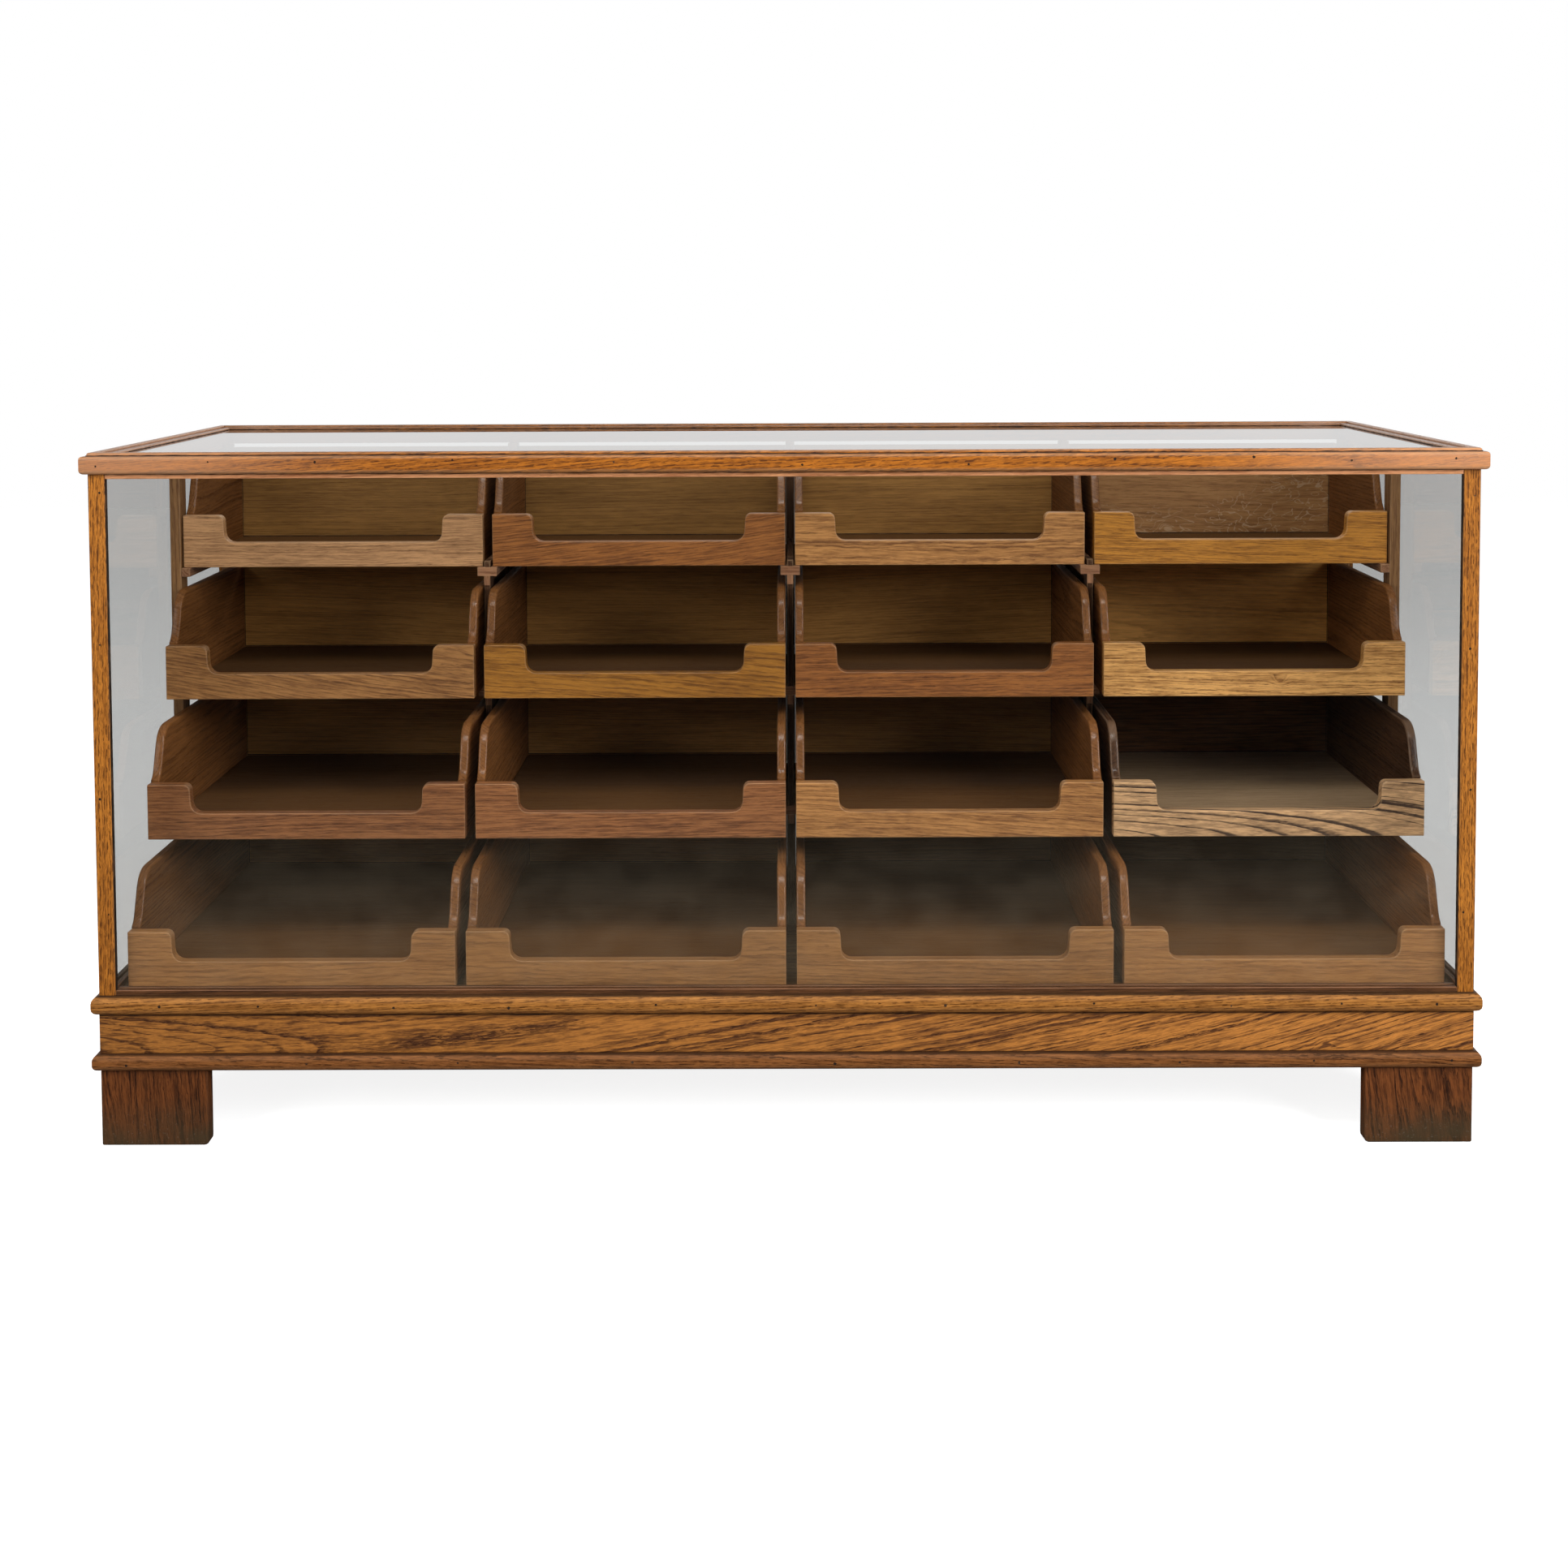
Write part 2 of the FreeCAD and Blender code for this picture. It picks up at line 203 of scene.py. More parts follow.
def makeOakGrain():
    # Grain holds a point in the log in metres: x along it, y and z across it from the pith
    tree, get, result = startGroup(
        "oakGrain",
        {"Vector": ("Grain", "Knot"), "Color": ("Light", "Dark"),
         "Float": ("RingWidth", "RingShare", "Rings", "Pores", "PoreSize", "Flecks", "Blotches",
                   "CrownFrom", "CrownRise", "KnotSize", "Fibre", "Wave", "PoreShare",
                   "PoreSpread")},
        {"Color": ("Colour",), "Float": ("Height", "Pore")})
    grain = get["Grain"]
    habit = grainHabits

    def spread(vector, size, *rest):
        return cloud(vector, grainSizes[size], *rest)

    # where the rings are: they lean beyond the crown, bend at three sizes and swell round a knot
    beyond = sums("MAXIMUM", minus(get["CrownFrom"], parts(grain)["X"]), 0.0)
    crown = joined("CombineXYZ", {"Z": times(beyond, get["CrownRise"])})[0]
    bent = vectors("ADD", grain, crown)
    for size, detail, amount in grainSizes["bends"]:
        wave = joined("VectorMath", {0: (0, amount, amount), "Scale": get["Wave"]},
                      operation="SCALE")[0]
        bent = vectors("MULTIPLY_ADD", cloud(grain, size, detail, output="Color"), wave, bent)
    radius = vectors("LENGTH", stretch(bent, (0, 1, 1)), output="Value")
    toKnot = stretch(vectors("SUBTRACT", grain, get["Knot"]), (0.7, 1, 0))
    knotSpan = sums("DIVIDE", vectors("LENGTH", toKnot, output="Value"), get["KnotSize"])
    swelling = times(fade(knotSpan, 0.0, habit["knotReach"], 1.0, 0.0), get["KnotSize"])
    radius = timesPlus(swelling, habit["knotSwell"], radius)

    # spring is 1 in the dark wood that each year starts with; good and bad years differ
    uneven = joined("TexNoise", {"W": times(radius, habit["goodYears"]), "Scale": 1},
                    noise_dimensions="1D")["Fac"]
    year = sums("ADD", sums("DIVIDE", radius, get["RingWidth"]),
                times(uneven, habit["yearShift"]))
    season = sums("FRACT", year)
    spring = sums("MAXIMUM", fade(season, 0.03, get["RingShare"], 1.0, 0.0),
                  fade(season, 0.93, 1.0))
    spring = times(spring, fade(uneven, 0.3, 0.7, 0.5, 1.15))

    vessel = vectors("DIVIDE", bent, get["PoreSize"])
    coarse = fade(spread(vessel, "coarsePores", 2), get["PoreShare"],
                  sums("ADD", get["PoreShare"], 0.06))
    fine = fade(spread(vessel, "finePores", 1), 0.55, 0.66)
    pore = sums("MAXIMUM", coarse, times(fine, habit["finePores"]))
    inSpring = timesPlus(spring, habit["poresInSpring"], get["PoreSpread"])
    pore = times(pore, inSpring, clamp=True)
    fibre = fade(spread(bent, "fibres", 3), 0.32, 0.68, -0.5, 0.5)
    thread = fade(spread(bent, "threads", 2), 0.32, 0.68, -0.5, 0.5)
    streak = minus(spread(grain, "streaks", 2), 0.5)
    blotch = minus(spread(grain, "blotches", 3, 0.4), 0.5)

    tone = times(spring, timesPlus(beyond, habit["crownRings"], get["Rings"]))
    for layer, share in (
            (fibre, get["Fibre"]), (times(thread, habit["threads"]), get["Fibre"]),
            (fade(knotSpan, 0.2, 1.3, 1.0, 0.0), habit["knotDark"]), (beyond, habit["crownDark"]),
            (streak, habit["streaks"]), (blotch, get["Blotches"])):
        tone = timesPlus(layer, share, tone)
    tone = sums("ADD", tone, habit["tone"], clamp=True)
    colour = blend(tone, get["Light"], get["Dark"])
    line = sums("ABSOLUTE", minus(spread(grain, "flecks", 1, 1.2), 0.5))
    line = times(fade(line, 0.0, 0.028, 1.0, 0.0), fade(blotch, -0.1, 0.15))
    pale = blend(0.5, get["Light"], grainColours["fleck"])
    colour = blend(times(line, get["Flecks"]), colour, pale)
    poreColour = blend(1.0, get["Dark"], grainColours["pore"], "MULTIPLY")
    colour = blend(times(pore, get["Pores"]), colour, poreColour)
    feed(colour, result["Colour"])
    height = timesPlus(pore, habit["poreDepth"], times(fibre, habit["fibreHeight"]))
    feed(height, result["Height"])
    feed(pore, result["Pore"])
    return tree


def makeEdgeWear():
    # Edge is 1 on a rounded arris and 0 a few millimetres away from it; the mask lightens worn
    # edges and paints sheen along them too
    tree, get, result = startGroup("edgeWear", {"Float": ("Edge", "Amount"), "Vector": ("Grain",)},
                                   {"Float": ("Mask",)})
    patchy = minus(cloud(get["Grain"], (24, 60, 60), 3), 0.5)
    mask = fade(timesPlus(patchy, 0.9, get["Edge"]), 0.35, 1.05)
    feed(times(mask, get["Amount"], clamp=True), result["Mask"])
    return tree


def makeGrime():
    # grows between two heights, From being none and To being fullest: dirt and dust, and on the
    # frieze a band of painted shade
    tree, get, result = startGroup("grime", {"Vector": ("Place",), "Float": ("From", "To", "Grit")},
                                   {"Float": ("Mask", "Specks")})
    rise = fade(parts(get["Place"])["Z"], get["From"], get["To"])
    patchy = fade(cloud(get["Place"], (14, 14, 22), 4), 0.25, 0.75, 0.45, 1.1)
    specks = fade(cloud(get["Place"], (420, 420, 420), 1), 0.66, 0.74)
    specks = times(specks, rise)
    feed(times(rise, patchy, clamp=True), result["Mask"])
    feed(times(specks, get["Grit"], clamp=True), result["Specks"])
    return tree


oakGrain = makeOakGrain()
edgeWear = makeEdgeWear()
grime = makeGrime()
print("shared effects ready")


# the finishes; boards name them as they are named here

def newMaterial(name):
    material = bpy.data.materials.new(name)
    material.use_nodes = True
    tree = material.node_tree
    tree.nodes.clear()
    return tree, tree.nodes.new("ShaderNodeOutputMaterial").inputs["Surface"]


def principled(surface, looks):
    feed(addNode(surface.id_data, "BsdfPrincipled", looks).outputs[0], surface)


plainFigure = {               # what every oak starts from; each finish changes a few of these
    "ringWidth": 0.0036,
    "ringShare": 0.55,        # how much of each year's ring is dark
    "rings": 0.42,
    "pores": 0.32,
    "poreSize": 1.0,
    "poreShare": 0.53,        # lower for closer rows of pores
    "poreSpread": 0.22,       # how many pores lie between the rings
    "flecks": 0.0,
    "blotches": 0.7,
    "fibre": 0.6,
    "wave": 1.0,              # how much the rings waver
    "knot": (0.0, 0.0, 0.0),  # where in the log; boards start beyond 3 m, so this is none
    "knotSize": 0.006,
    "crownFrom": 0.0,         # from where along the log the rings run out of the face
    "crownRise": 0.0,         # and how steeply
}
plainSurface = {
    # wear lightens the edges: worn wood, and partly painted sheen
    "wear": 0.25,
    "wornColour": (0.62, 0.40, 0.22),
    "roughness": 0.42,
    "gloss": 0.3,
    "coat": 0.12,
    "coatRoughness": 0.22,
    "rimCoat": False,         # rubbed to a shine only on the edges that face forwards
    "bump": 0.35,
    "bumpDepth": 0.0006,
    "dirt": None,             # dirt, and on the frieze a band of painted shade: (colour, clean height, dirty height, grit)
    "gritColour": (0.42, 0.38, 0.32),
    "ends": None,             # painted sheen towards the ends: (colour, from, to) in metres out from the counter's middle
    "crease": 0.8,            # painted shade and dirt: how dark the inner corners are
    "topDirt": 0.0,           # painted shade, with some dust, on the faces that look up
    "soilColour": (0.030, 0.014, 0.007),
}
roughened = {"pores": 0.25, "wear": -0.12, "dirt": 0.35, "rim": -0.2}     # what each adds


def oak(name, light, dark, **changes):
    look = {**plainFigure, **plainSurface, **changes}
    tree, surface = newMaterial(name)
    grain = attribute(tree, "grain", "Vector")
    edge = attribute(tree, "edge")
    figure = useGroup(tree, oakGrain, Grain=grain, Light=light, Dark=dark,
                      **{key[0].upper() + key[1:]: look[key] for key in plainFigure})
    worn = useGroup(tree, edgeWear, Edge=edge, Grain=grain, Amount=look["wear"])["Mask"]
    colour = figure["Colour"]
    # painted sheen: lighter towards the ends
    if look["ends"]:
        endColour, near, far = look["ends"]
        out = sums("ABSOLUTE", parts(objectPlace(tree))["X"])
        colour = blend(fade(out, near, far, 0.0, 0.5), colour, endColour)
    # worn edges, lightened also as painted sheen
    colour = blend(worn, colour, look["wornColour"])
    colour = blend(1.0, colour, attribute(tree, "shade"), "MULTIPLY")
    # painted shade, with some dirt, darkens the inner corners; faces that look up are added below
    soiled = fade(edge, -0.05, -0.6, 0.0, look["crease"])
    if look["topDirt"]:
        upward = fade(facing(tree)["Z"], 0.66, 0.93, 0.0, look["topDirt"])
        soiled = sums("MAXIMUM", soiled, upward)
    colour = blend(soiled, colour, look["soilColour"])
    roughness = timesPlus(figure["Pore"], roughened["pores"], look["roughness"])
    roughness = timesPlus(worn, roughened["wear"], roughness)
    # dirt between two heights; on the frieze it is a band of painted shade
    if look["dirt"]:
        dirtColour, clean, dirty, grit = look["dirt"]
        dust = useGroup(tree, grime, Place=objectPlace(tree), From=clean, To=dirty, Grit=grit)
        colour = blend(dust["Mask"], colour, dirtColour)
        colour = blend(dust["Specks"], colour, look["gritColour"])
        roughness = timesPlus(dust["Mask"], roughened["dirt"], roughness)
    coat = look["coat"]
    if look["rimCoat"]:
        rim = fade(facing(tree)["Y"], -0.2, -0.7)
        coat = times(rim, coat)
        roughness = timesPlus(rim, roughened["rim"], roughness)
    bump = joined("Bump", {"Strength": look["bump"], "Distance": look["bumpDepth"],
                           "Height": figure["Height"]})[0]
    principled(surface, {
        "Base Color": colour, "Roughness": roughness, "Specular IOR Level": look["gloss"],
        "Coat Weight": coat, "Coat Roughness": look["coatRoughness"], "Normal": bump})


# its ends are lighter: painted sheen
oak("oak_rail", (0.54, 0.172, 0.014), (0.22, 0.062, 0.005), rings=0.38, fibre=0.5,
    ringWidth=0.0034, pores=0.85, poreShare=0.50, poreSpread=0.40, wear=0.2, coat=0.25, gloss=0.2,
    topDirt=0.4, crease=1.0, ends=((0.68, 0.345, 0.19), 0.50, 0.88))
oak("oak_post", (0.62, 0.225, 0.028), (0.28, 0.085, 0.009), ringWidth=0.0030, rings=0.35,
    fibre=0.4, pores=0.9, poreShare=0.49, poreSpread=0.50, wear=0.08, coat=0.03, gloss=0.2)
# the dark band along its top is painted shade under the upper moulding
oak("oak_frieze", (0.545, 0.212, 0.043), (0.14, 0.050, 0.015), rings=0.64, ringWidth=0.0072,
    ringShare=0.42, blotches=1.1, crownFrom=9.42, crownRise=-0.105, pores=0.85, poreShare=0.49,
    fibre=0.8, wave=1.5, wear=0.0, coat=0.0, gloss=0.2, knot=(10.701, -0.231, 0.0), knotSize=0.004,
    dirt=((0.022, 0.010, 0.005), 0.1735, 0.1755, 0.0))
dusty = {"wear": 0.05, "poreShare": 0.51, "poreSpread": 0.35, "crease": 1.0, "coat": 0.0,
         "gloss": 0.12, "roughness": 0.5}
oak("oak_moulding", (0.48, 0.195, 0.040), (0.20, 0.072, 0.014), pores=0.85, topDirt=0.9, **dusty)
oak("oak_low_moulding", (0.28, 0.102, 0.027), (0.12, 0.040, 0.010), pores=0.8, topDirt=0.85,
    **dusty)
oak("oak_bead", (0.98, 0.45, 0.20), (0.60, 0.22, 0.080), wear=0.2)
oak("oak_low_bead", (0.13, 0.052, 0.019), (0.05, 0.020, 0.008), wear=0.5,
    wornColour=(0.40, 0.20, 0.11), gloss=0.15, coat=0.0)
oak("oak_foot", (0.205, 0.062, 0.016), (0.034, 0.011, 0.004), rings=0.45, ringWidth=0.0045,
    roughness=0.6, gloss=0.12, coat=0.0, wear=0.1, poreSize=0.9, wave=3.0, pores=0.5,
    wornColour=(0.20, 0.11, 0.06), knot=(8.0, 0.0, 0.0), knotSize=0.005,
    dirt=((0.066, 0.044, 0.022), 0.075, -0.005, 0.12))
oak("oak_inner", (0.30, 0.15, 0.055), (0.14, 0.058, 0.020), roughness=0.55, coat=0.0)
oak("oak_runner", (0.34, 0.17, 0.088), (0.18, 0.075, 0.038), roughness=0.55, gloss=0.12, coat=0.0)
oak("oak_shadowed", (0.085, 0.040, 0.021), (0.04, 0.017, 0.008), roughness=0.6, gloss=0.08,
    coat=0.0)

wavy = {"blotches": 1.0, "wave": 1.6}                 # the drawers' fronts
oak("oak_tan", (0.52, 0.245, 0.078), (0.20, 0.080, 0.024), **wavy)
oak("oak_grey_tan", (0.56, 0.30, 0.135), (0.22, 0.104, 0.044), fibre=0.5, **wavy)
oak("oak_rose", (0.46, 0.168, 0.040), (0.18, 0.058, 0.014), **wavy)
oak("oak_golden", (0.53, 0.222, 0.030), (0.21, 0.076, 0.010), **wavy)
oak("oak_calm_tan", (0.52, 0.245, 0.080), (0.20, 0.080, 0.025), blotches=1.0, wave=1.8, rings=0.30,
    pores=0.15, fibre=0.32)
oak("oak_straw", (0.74, 0.39, 0.12), (0.30, 0.13, 0.032), pores=0.6, blotches=1.0,
    knot=(20.036, 0.044, 0.0), knotSize=0.003)
oak("oak_red", (0.40, 0.160, 0.056), (0.16, 0.055, 0.018), fibre=0.7)
oak("oak_pale", (0.57, 0.34, 0.165), (0.050, 0.026, 0.015), rings=1.0, fibre=0.40,
    ringWidth=0.0082, ringShare=0.22, blotches=0.6, pores=0.4, poreSpread=0.1, wave=0.7)

matt = {"coat": 0.0, "wear": 0.0}                     # their backs and bottoms
board = {**matt, "rings": 0.1, "pores": 0.15, "roughness": 0.7, "gloss": 0.1}
oak("oak_inside", (0.39, 0.19, 0.050), (0.16, 0.070, 0.016), roughness=0.5, gloss=0.2, pores=0.12,
    fibre=0.32, rings=0.28, blotches=0.9, **matt)
oak("oak_inside_quartered", (0.38, 0.19, 0.072), (0.20, 0.088, 0.032), flecks=0.7, rings=0.15,
    gloss=0.2, pores=0.2, **matt)
oak("oak_inside_dark", (0.12, 0.045, 0.014), (0.040, 0.014, 0.004), roughness=0.55, gloss=0.15,
    pores=0.2, **matt)
oak("board_base", (0.155, 0.070, 0.022), (0.09, 0.038, 0.012), fibre=0.25, **board)
oak("board_base_grey", (0.46, 0.310, 0.175), (0.26, 0.165, 0.088), fibre=0.35, **board)

rubbed = {"rimCoat": True, "roughness": 0.6, "gloss": 0.05}     # and their sides
oak("oak_side", (0.24, 0.096, 0.028), (0.10, 0.037, 0.010), coat=0.5, wear=0.05,
    wornColour=(0.28, 0.14, 0.07), pores=0.2, fibre=0.35, **rubbed)
oak("oak_side_dark", (0.075, 0.034, 0.015), (0.03, 0.013, 0.006), coat=0.4, wear=0.3,
    wornColour=(0.30, 0.19, 0.12), **rubbed)


def patches(tree, size, detail, start, end):
    return fade(cloud(objectPlace(tree), (size,) * 3, detail), start, end)


putty = {"colour": (0.020, 0.012, 0.008), "dust": (0.10, 0.055, 0.03), "roughness": 0.8,
         "gloss": 0.2}


def makePutty():
    # the black of old putty and nail holes, broken by dust; the same black paints shade in gaps and
    # corners
    tree, surface = newMaterial("putty_black")
    dust = patches(tree, 60, 3, 0.45, 0.75)
    principled(surface, {
        "Base Color": blend(dust, putty["colour"], putty["dust"]),
        "Roughness": putty["roughness"], "Specular IOR Level": putty["gloss"]})


brass = {"bright": (0.62, 0.42, 0.16), "dull": (0.25, 0.16, 0.07), "roughness": 0.26,
         "tarnished": 0.25}   # tarnished: how much rougher the dull patches are


def makeBrass():
    tree, surface = newMaterial("brass_aged")
    tarnish = patches(tree, 55, 4, 0.38, 0.66)
    principled(surface, {
        "Base Color": blend(tarnish, brass["bright"], brass["dull"]), "Metallic": 1.0,
        "Roughness": timesPlus(tarnish, brass["tarnished"], brass["roughness"])})


panes = {                     # tint, index, roughness and haze (colour, clean, dusty, amount)
    "glass_front": ((0.975, 0.975, 0.97), 1.11, 0.02, ((0.55, 0.44, 0.30), 0.50, 0.26, 0.042)),
    "glass_end": ((0.70, 0.705, 0.705), 1.22, 0.0, None),
    "glass_top": ((0.95, 0.96, 0.95), 1.5, 0.0, None),
}


def makePane(name, tint, index, roughness, haze):
    # a flat pane: it mirrors by Fresnel, lets the rest straight through, and carries some dust
    tree, surface = newMaterial(name)
    through = addNode(tree, "BsdfTransparent", {"Color": tint})
    mirror = addNode(tree, "BsdfGlossy", {"Roughness": roughness})
    fresnel = addNode(tree, "Fresnel", {"IOR": index})
    outside = minus(1.0, addNode(tree, "NewGeometry").outputs["Backfacing"])
    oneFace = times(fresnel.outputs[0], outside)
    bothFaces = sums("DIVIDE", times(oneFace, 2.0), sums("ADD", oneFace, 1.0))
    shown = joined("MixShader", (bothFaces, through.outputs[0], mirror.outputs[0]))[0]
    if haze:
        hazeColour, clean, dirty, amount = haze
        dust = useGroup(tree, grime, Place=objectPlace(tree), From=clean, To=dirty, Grit=0.0)
        film = addNode(tree, "BsdfDiffuse", {"Color": hazeColour})
        shown = joined("MixShader", (times(dust["Mask"], amount), shown, film.outputs[0]))[0]
    feed(shown, surface)


makePutty()
makeBrass()
for name, look in panes.items():
    makePane(name, *look)
print("finishes ready")


# how boards are shaped

arris = {
    "rounding": 0.0012,
    "wear": 0.005,            # how far from the edge it is rubbed
    "sharp": 0.0003,          # the radius of an edge left as cut
    "least": 0.00002,
    "steps": 4,               # across a rounded corner
    "shoulder": 0.6,          # how worn the edge is where its rounding starts
    "room": 0.45,             # how much of a short side may be worn from one end
    "spanShare": 0.3, "thicknessShare": 0.45, "wearShare": 0.6,   # the most on a thin board
    "sharpAngle": 50,         # degrees between faces that are shaded apart
}


def newShape():
    return {"verts": [], "faces": [], "slots": [], "grain": [], "edge": [], "shade": [],
            "materials": []}


def outlineRing(corners, inset, wear):
    # corners are (a, b, radius); returns (a, b, edge) points all round, moved in by inset
    count = len(corners)
    steps = arris["steps"]
    area = sum(corners[i - 1][0] * corners[i][1] - corners[i][0] * corners[i - 1][1]
               for i in range(count))
    side = 1 if area > 0 else -1
    moved = []
    for i, (a, b, radius) in enumerate(corners):
        here = Vector((a, b))
        toward = (here - Vector(corners[i - 1][:2])).normalized()
        away = (Vector(corners[(i + 1) % count][:2]) - here).normalized()
        inwards = [Vector((-side * line.y, side * line.x)) for line in (toward, away)]
        bend = toward.x * away.y - toward.y * away.x
        shift = (inwards[0] + inwards[1]) / (1 + inwards[0].dot(inwards[1])) * inset
        radius += -inset if bend * side > 0 else inset
        radius = max(radius, arris["least"])
        turn = toward.angle(away)
        reach = radius * math.tan(turn / 2)
        moved.append((here + shift, radius, reach, toward, away, turn, math.copysign(1, bend)))
    ring = []
    for i, (here, radius, reach, toward, away, turn, way) in enumerate(moved):
        kind = way * side         # 1 where the outline turns outwards, -1 in an inner corner
        spare = [(here - other[0]).length - reach - other[2]
                 for other in (moved[i - 1], moved[(i + 1) % count])]
        pauses = [min(wear, max(room, 0) * arris["room"]) for room in spare]
        start = here - toward * reach
        centre = here + (away - toward).normalized() * (radius / math.cos(turn / 2))
        ring.append((*(start - toward * pauses[0]), 0.0))
        for k in range(steps + 1):
            arm = start - centre
            arm.rotate(Matrix.Rotation(way * turn * k / steps, 2))
            ring.append((*(centre + arm), (1.0 if 0 < k < steps else arris["shoulder"]) * kind))
        ring.append((*(here + away * (reach + pauses[1])), 0.0))
    return ring


def grainOf(along, **changes):
    # how the board was sawn: pith is how far the log's heart lies across and behind its middle
    sawn = {"along": along,
            "pith": (dice.choice((-1, 1)) * dice.uniform(0.03, 0.12), dice.uniform(0.02, 0.08)),
            "taper": dice.uniform(-0.03, 0.03), "tilt": dice.uniform(-0.03, 0.03),
            "start": dice.uniform(3, 60), "shade": dice.uniform(0.88, 1.1), "bow": 0.0,
            "paler": 0.0}         # paler: painted light, how much the shade grows for each metre along
    return {**sawn, **changes}


# which of x, y, z runs along, across and through the board
axes = {"x": (0, 2, 1), "y": (1, 2, 0), "z": (2, 0, 1), "xFlat": (0, 1, 2), "zDeep": (2, 1, 0)}


def addRings(shape, rings, sawn, material):
    # rings are equal lists of (point, edge); faces join neighbours and close the two ends
    first = len(shape["verts"])
    size = len(rings[0])
    if material not in shape["materials"]:
        shape["materials"].append(material)
    points = [point for ring in rings for point, _ in ring]
    middle = [(min(p[i] for p in points) + max(p[i] for p in points)) / 2 for i in range(3)]
    cosTilt, sinTilt = math.cos(sawn["tilt"]), math.sin(sawn["tilt"])
    for ring in rings:
        for point, edge in ring:
            along, across, through = (point[i] - middle[i] for i in axes[sawn["along"]])
            along, across = along * cosTilt + across * sinTilt, across * cosTilt - along * sinTilt
            across -= sawn["bow"] * along * along
            shape["verts"].append(point)
            shape["grain"].append((along + sawn["start"], across + sawn["pith"][0],
                                   through + sawn["pith"][1] + sawn["taper"] * along))
            shape["edge"].append(edge)
            shape["shade"].append(sawn["shade"] * (1 + sawn["paler"] * along))
    last = first + (len(rings) - 1) * size
    faces = []
    for base in range(first, last, size):
        for i in range(size):
            j = (i + 1) % size
            faces.append((base + i, base + j, base + size + j, base + size + i))
    faces.append(tuple(first + i for i in reversed(range(size))))
    faces.append(tuple(last + i for i in range(size)))
    shape["faces"] += faces
    shape["slots"] += [shape["materials"].index(material)] * len(faces)


def addBoard(shape, corners, place, thickness, sawn, material, rounding=arris["rounding"],
             wear=arris["wear"]):
    # an outline of (a, b, radius) corners, thickness deep; place(a, b, depth) sets it in space
    span = min(max(c[k] for c in corners) - min(c[k] for c in corners) for k in (0, 1))
    wear = min(wear, span * arris["spanShare"], thickness * arris["thicknessShare"])
    rounding = min(rounding, wear * arris["wearShare"])
    section = [(wear, 0, 0)]
    for angle, edge in ((0, arris["shoulder"]), (30, 1), (60, 1), (90, arris["shoulder"])):
        turn = math.radians(angle)
        section.append(((1 - math.sin(turn)) * rounding, (1 - math.cos(turn)) * rounding, edge))
    section.append((0, wear, 0))
    section += [(inset, thickness - deep, edge) for inset, deep, edge in reversed(section)]
    rings = []
    for inset, deep, edge in section:
        cornerShare = 0 if inset >= wear else 1
        rings.append([(place(a, b, deep), max(edge, atCorner * cornerShare))
                      for a, b, atCorner in outlineRing(corners, inset, wear)])
    addRings(shape, rings, sawn, material)


def corner(start, end):  # a box's two corners, sorted
    return [min(pair) for pair in zip(start, end)], [max(pair) for pair in zip(start, end)]


def addPlank(shape, start, end, sawn, material, rounding=arris["rounding"], wear=arris["wear"]):
    # a plain rectangular board between two corners; the outline is its broad face
    low, high = corner(start, end)
    size = [b - a for a, b in zip(low, high)]
    thin = size.index(min(size))
    a, b = [i for i in range(3) if i != thin]
    corners = [(low[a], low[b], rounding), (high[a], low[b], rounding),
               (high[a], high[b], rounding), (low[a], high[b], rounding)]

    def place(first, second, deep):
        point = [0, 0, 0]
        point[a], point[b], point[thin] = first, second, low[thin] + deep
        return tuple(point)

    addBoard(shape, corners, place, size[thin], sawn, material, rounding, wear)


def outwards(mesh):  # turns every loose shell's faces the right way out
    work = bmesh.new()
    work.from_mesh(mesh)
    bmesh.ops.recalc_face_normals(work, faces=work.faces)
    work.to_mesh(mesh)
    work.free()


def finishShape(shape, name, node=None, body="carcass", sharpAngle=arris["sharpAngle"]):
    mesh = bpy.data.meshes.new(name)
    mesh.from_pydata(shape["verts"], [], shape["faces"])
    for material in shape["materials"]:
        mesh.materials.append(bpy.data.materials[material])
    mesh.polygons.foreach_set("material_index", shape["slots"])
    mesh.polygons.foreach_set("use_smooth", [True] * len(mesh.polygons))
    grain = mesh.attributes.new("grain", "FLOAT_VECTOR", "POINT")
    grain.data.foreach_set("vector", [number for point in shape["grain"] for number in point])
    for layer in ("edge", "shade"):
        values = mesh.attributes.new(layer, "FLOAT", "POINT")
        values.data.foreach_set("value", shape[layer])
    outwards(mesh)
    mesh.set_sharp_from_angle(angle=math.radians(sharpAngle))
    piece = newObject(name, mesh)
    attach(piece, body)
    if node:
        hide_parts(node)


def makePlanks(name, slotName, node, planks, *edges):
    # a piece made of plain boards, each (start, end, the way of its grain, material)
    shape = newShape()
    for start, end, way, material in planks:
        addPlank(shape, start, end, grainOf(way), material, *edges)
    finishShape(shape, name, node)


# the plinth and its feet

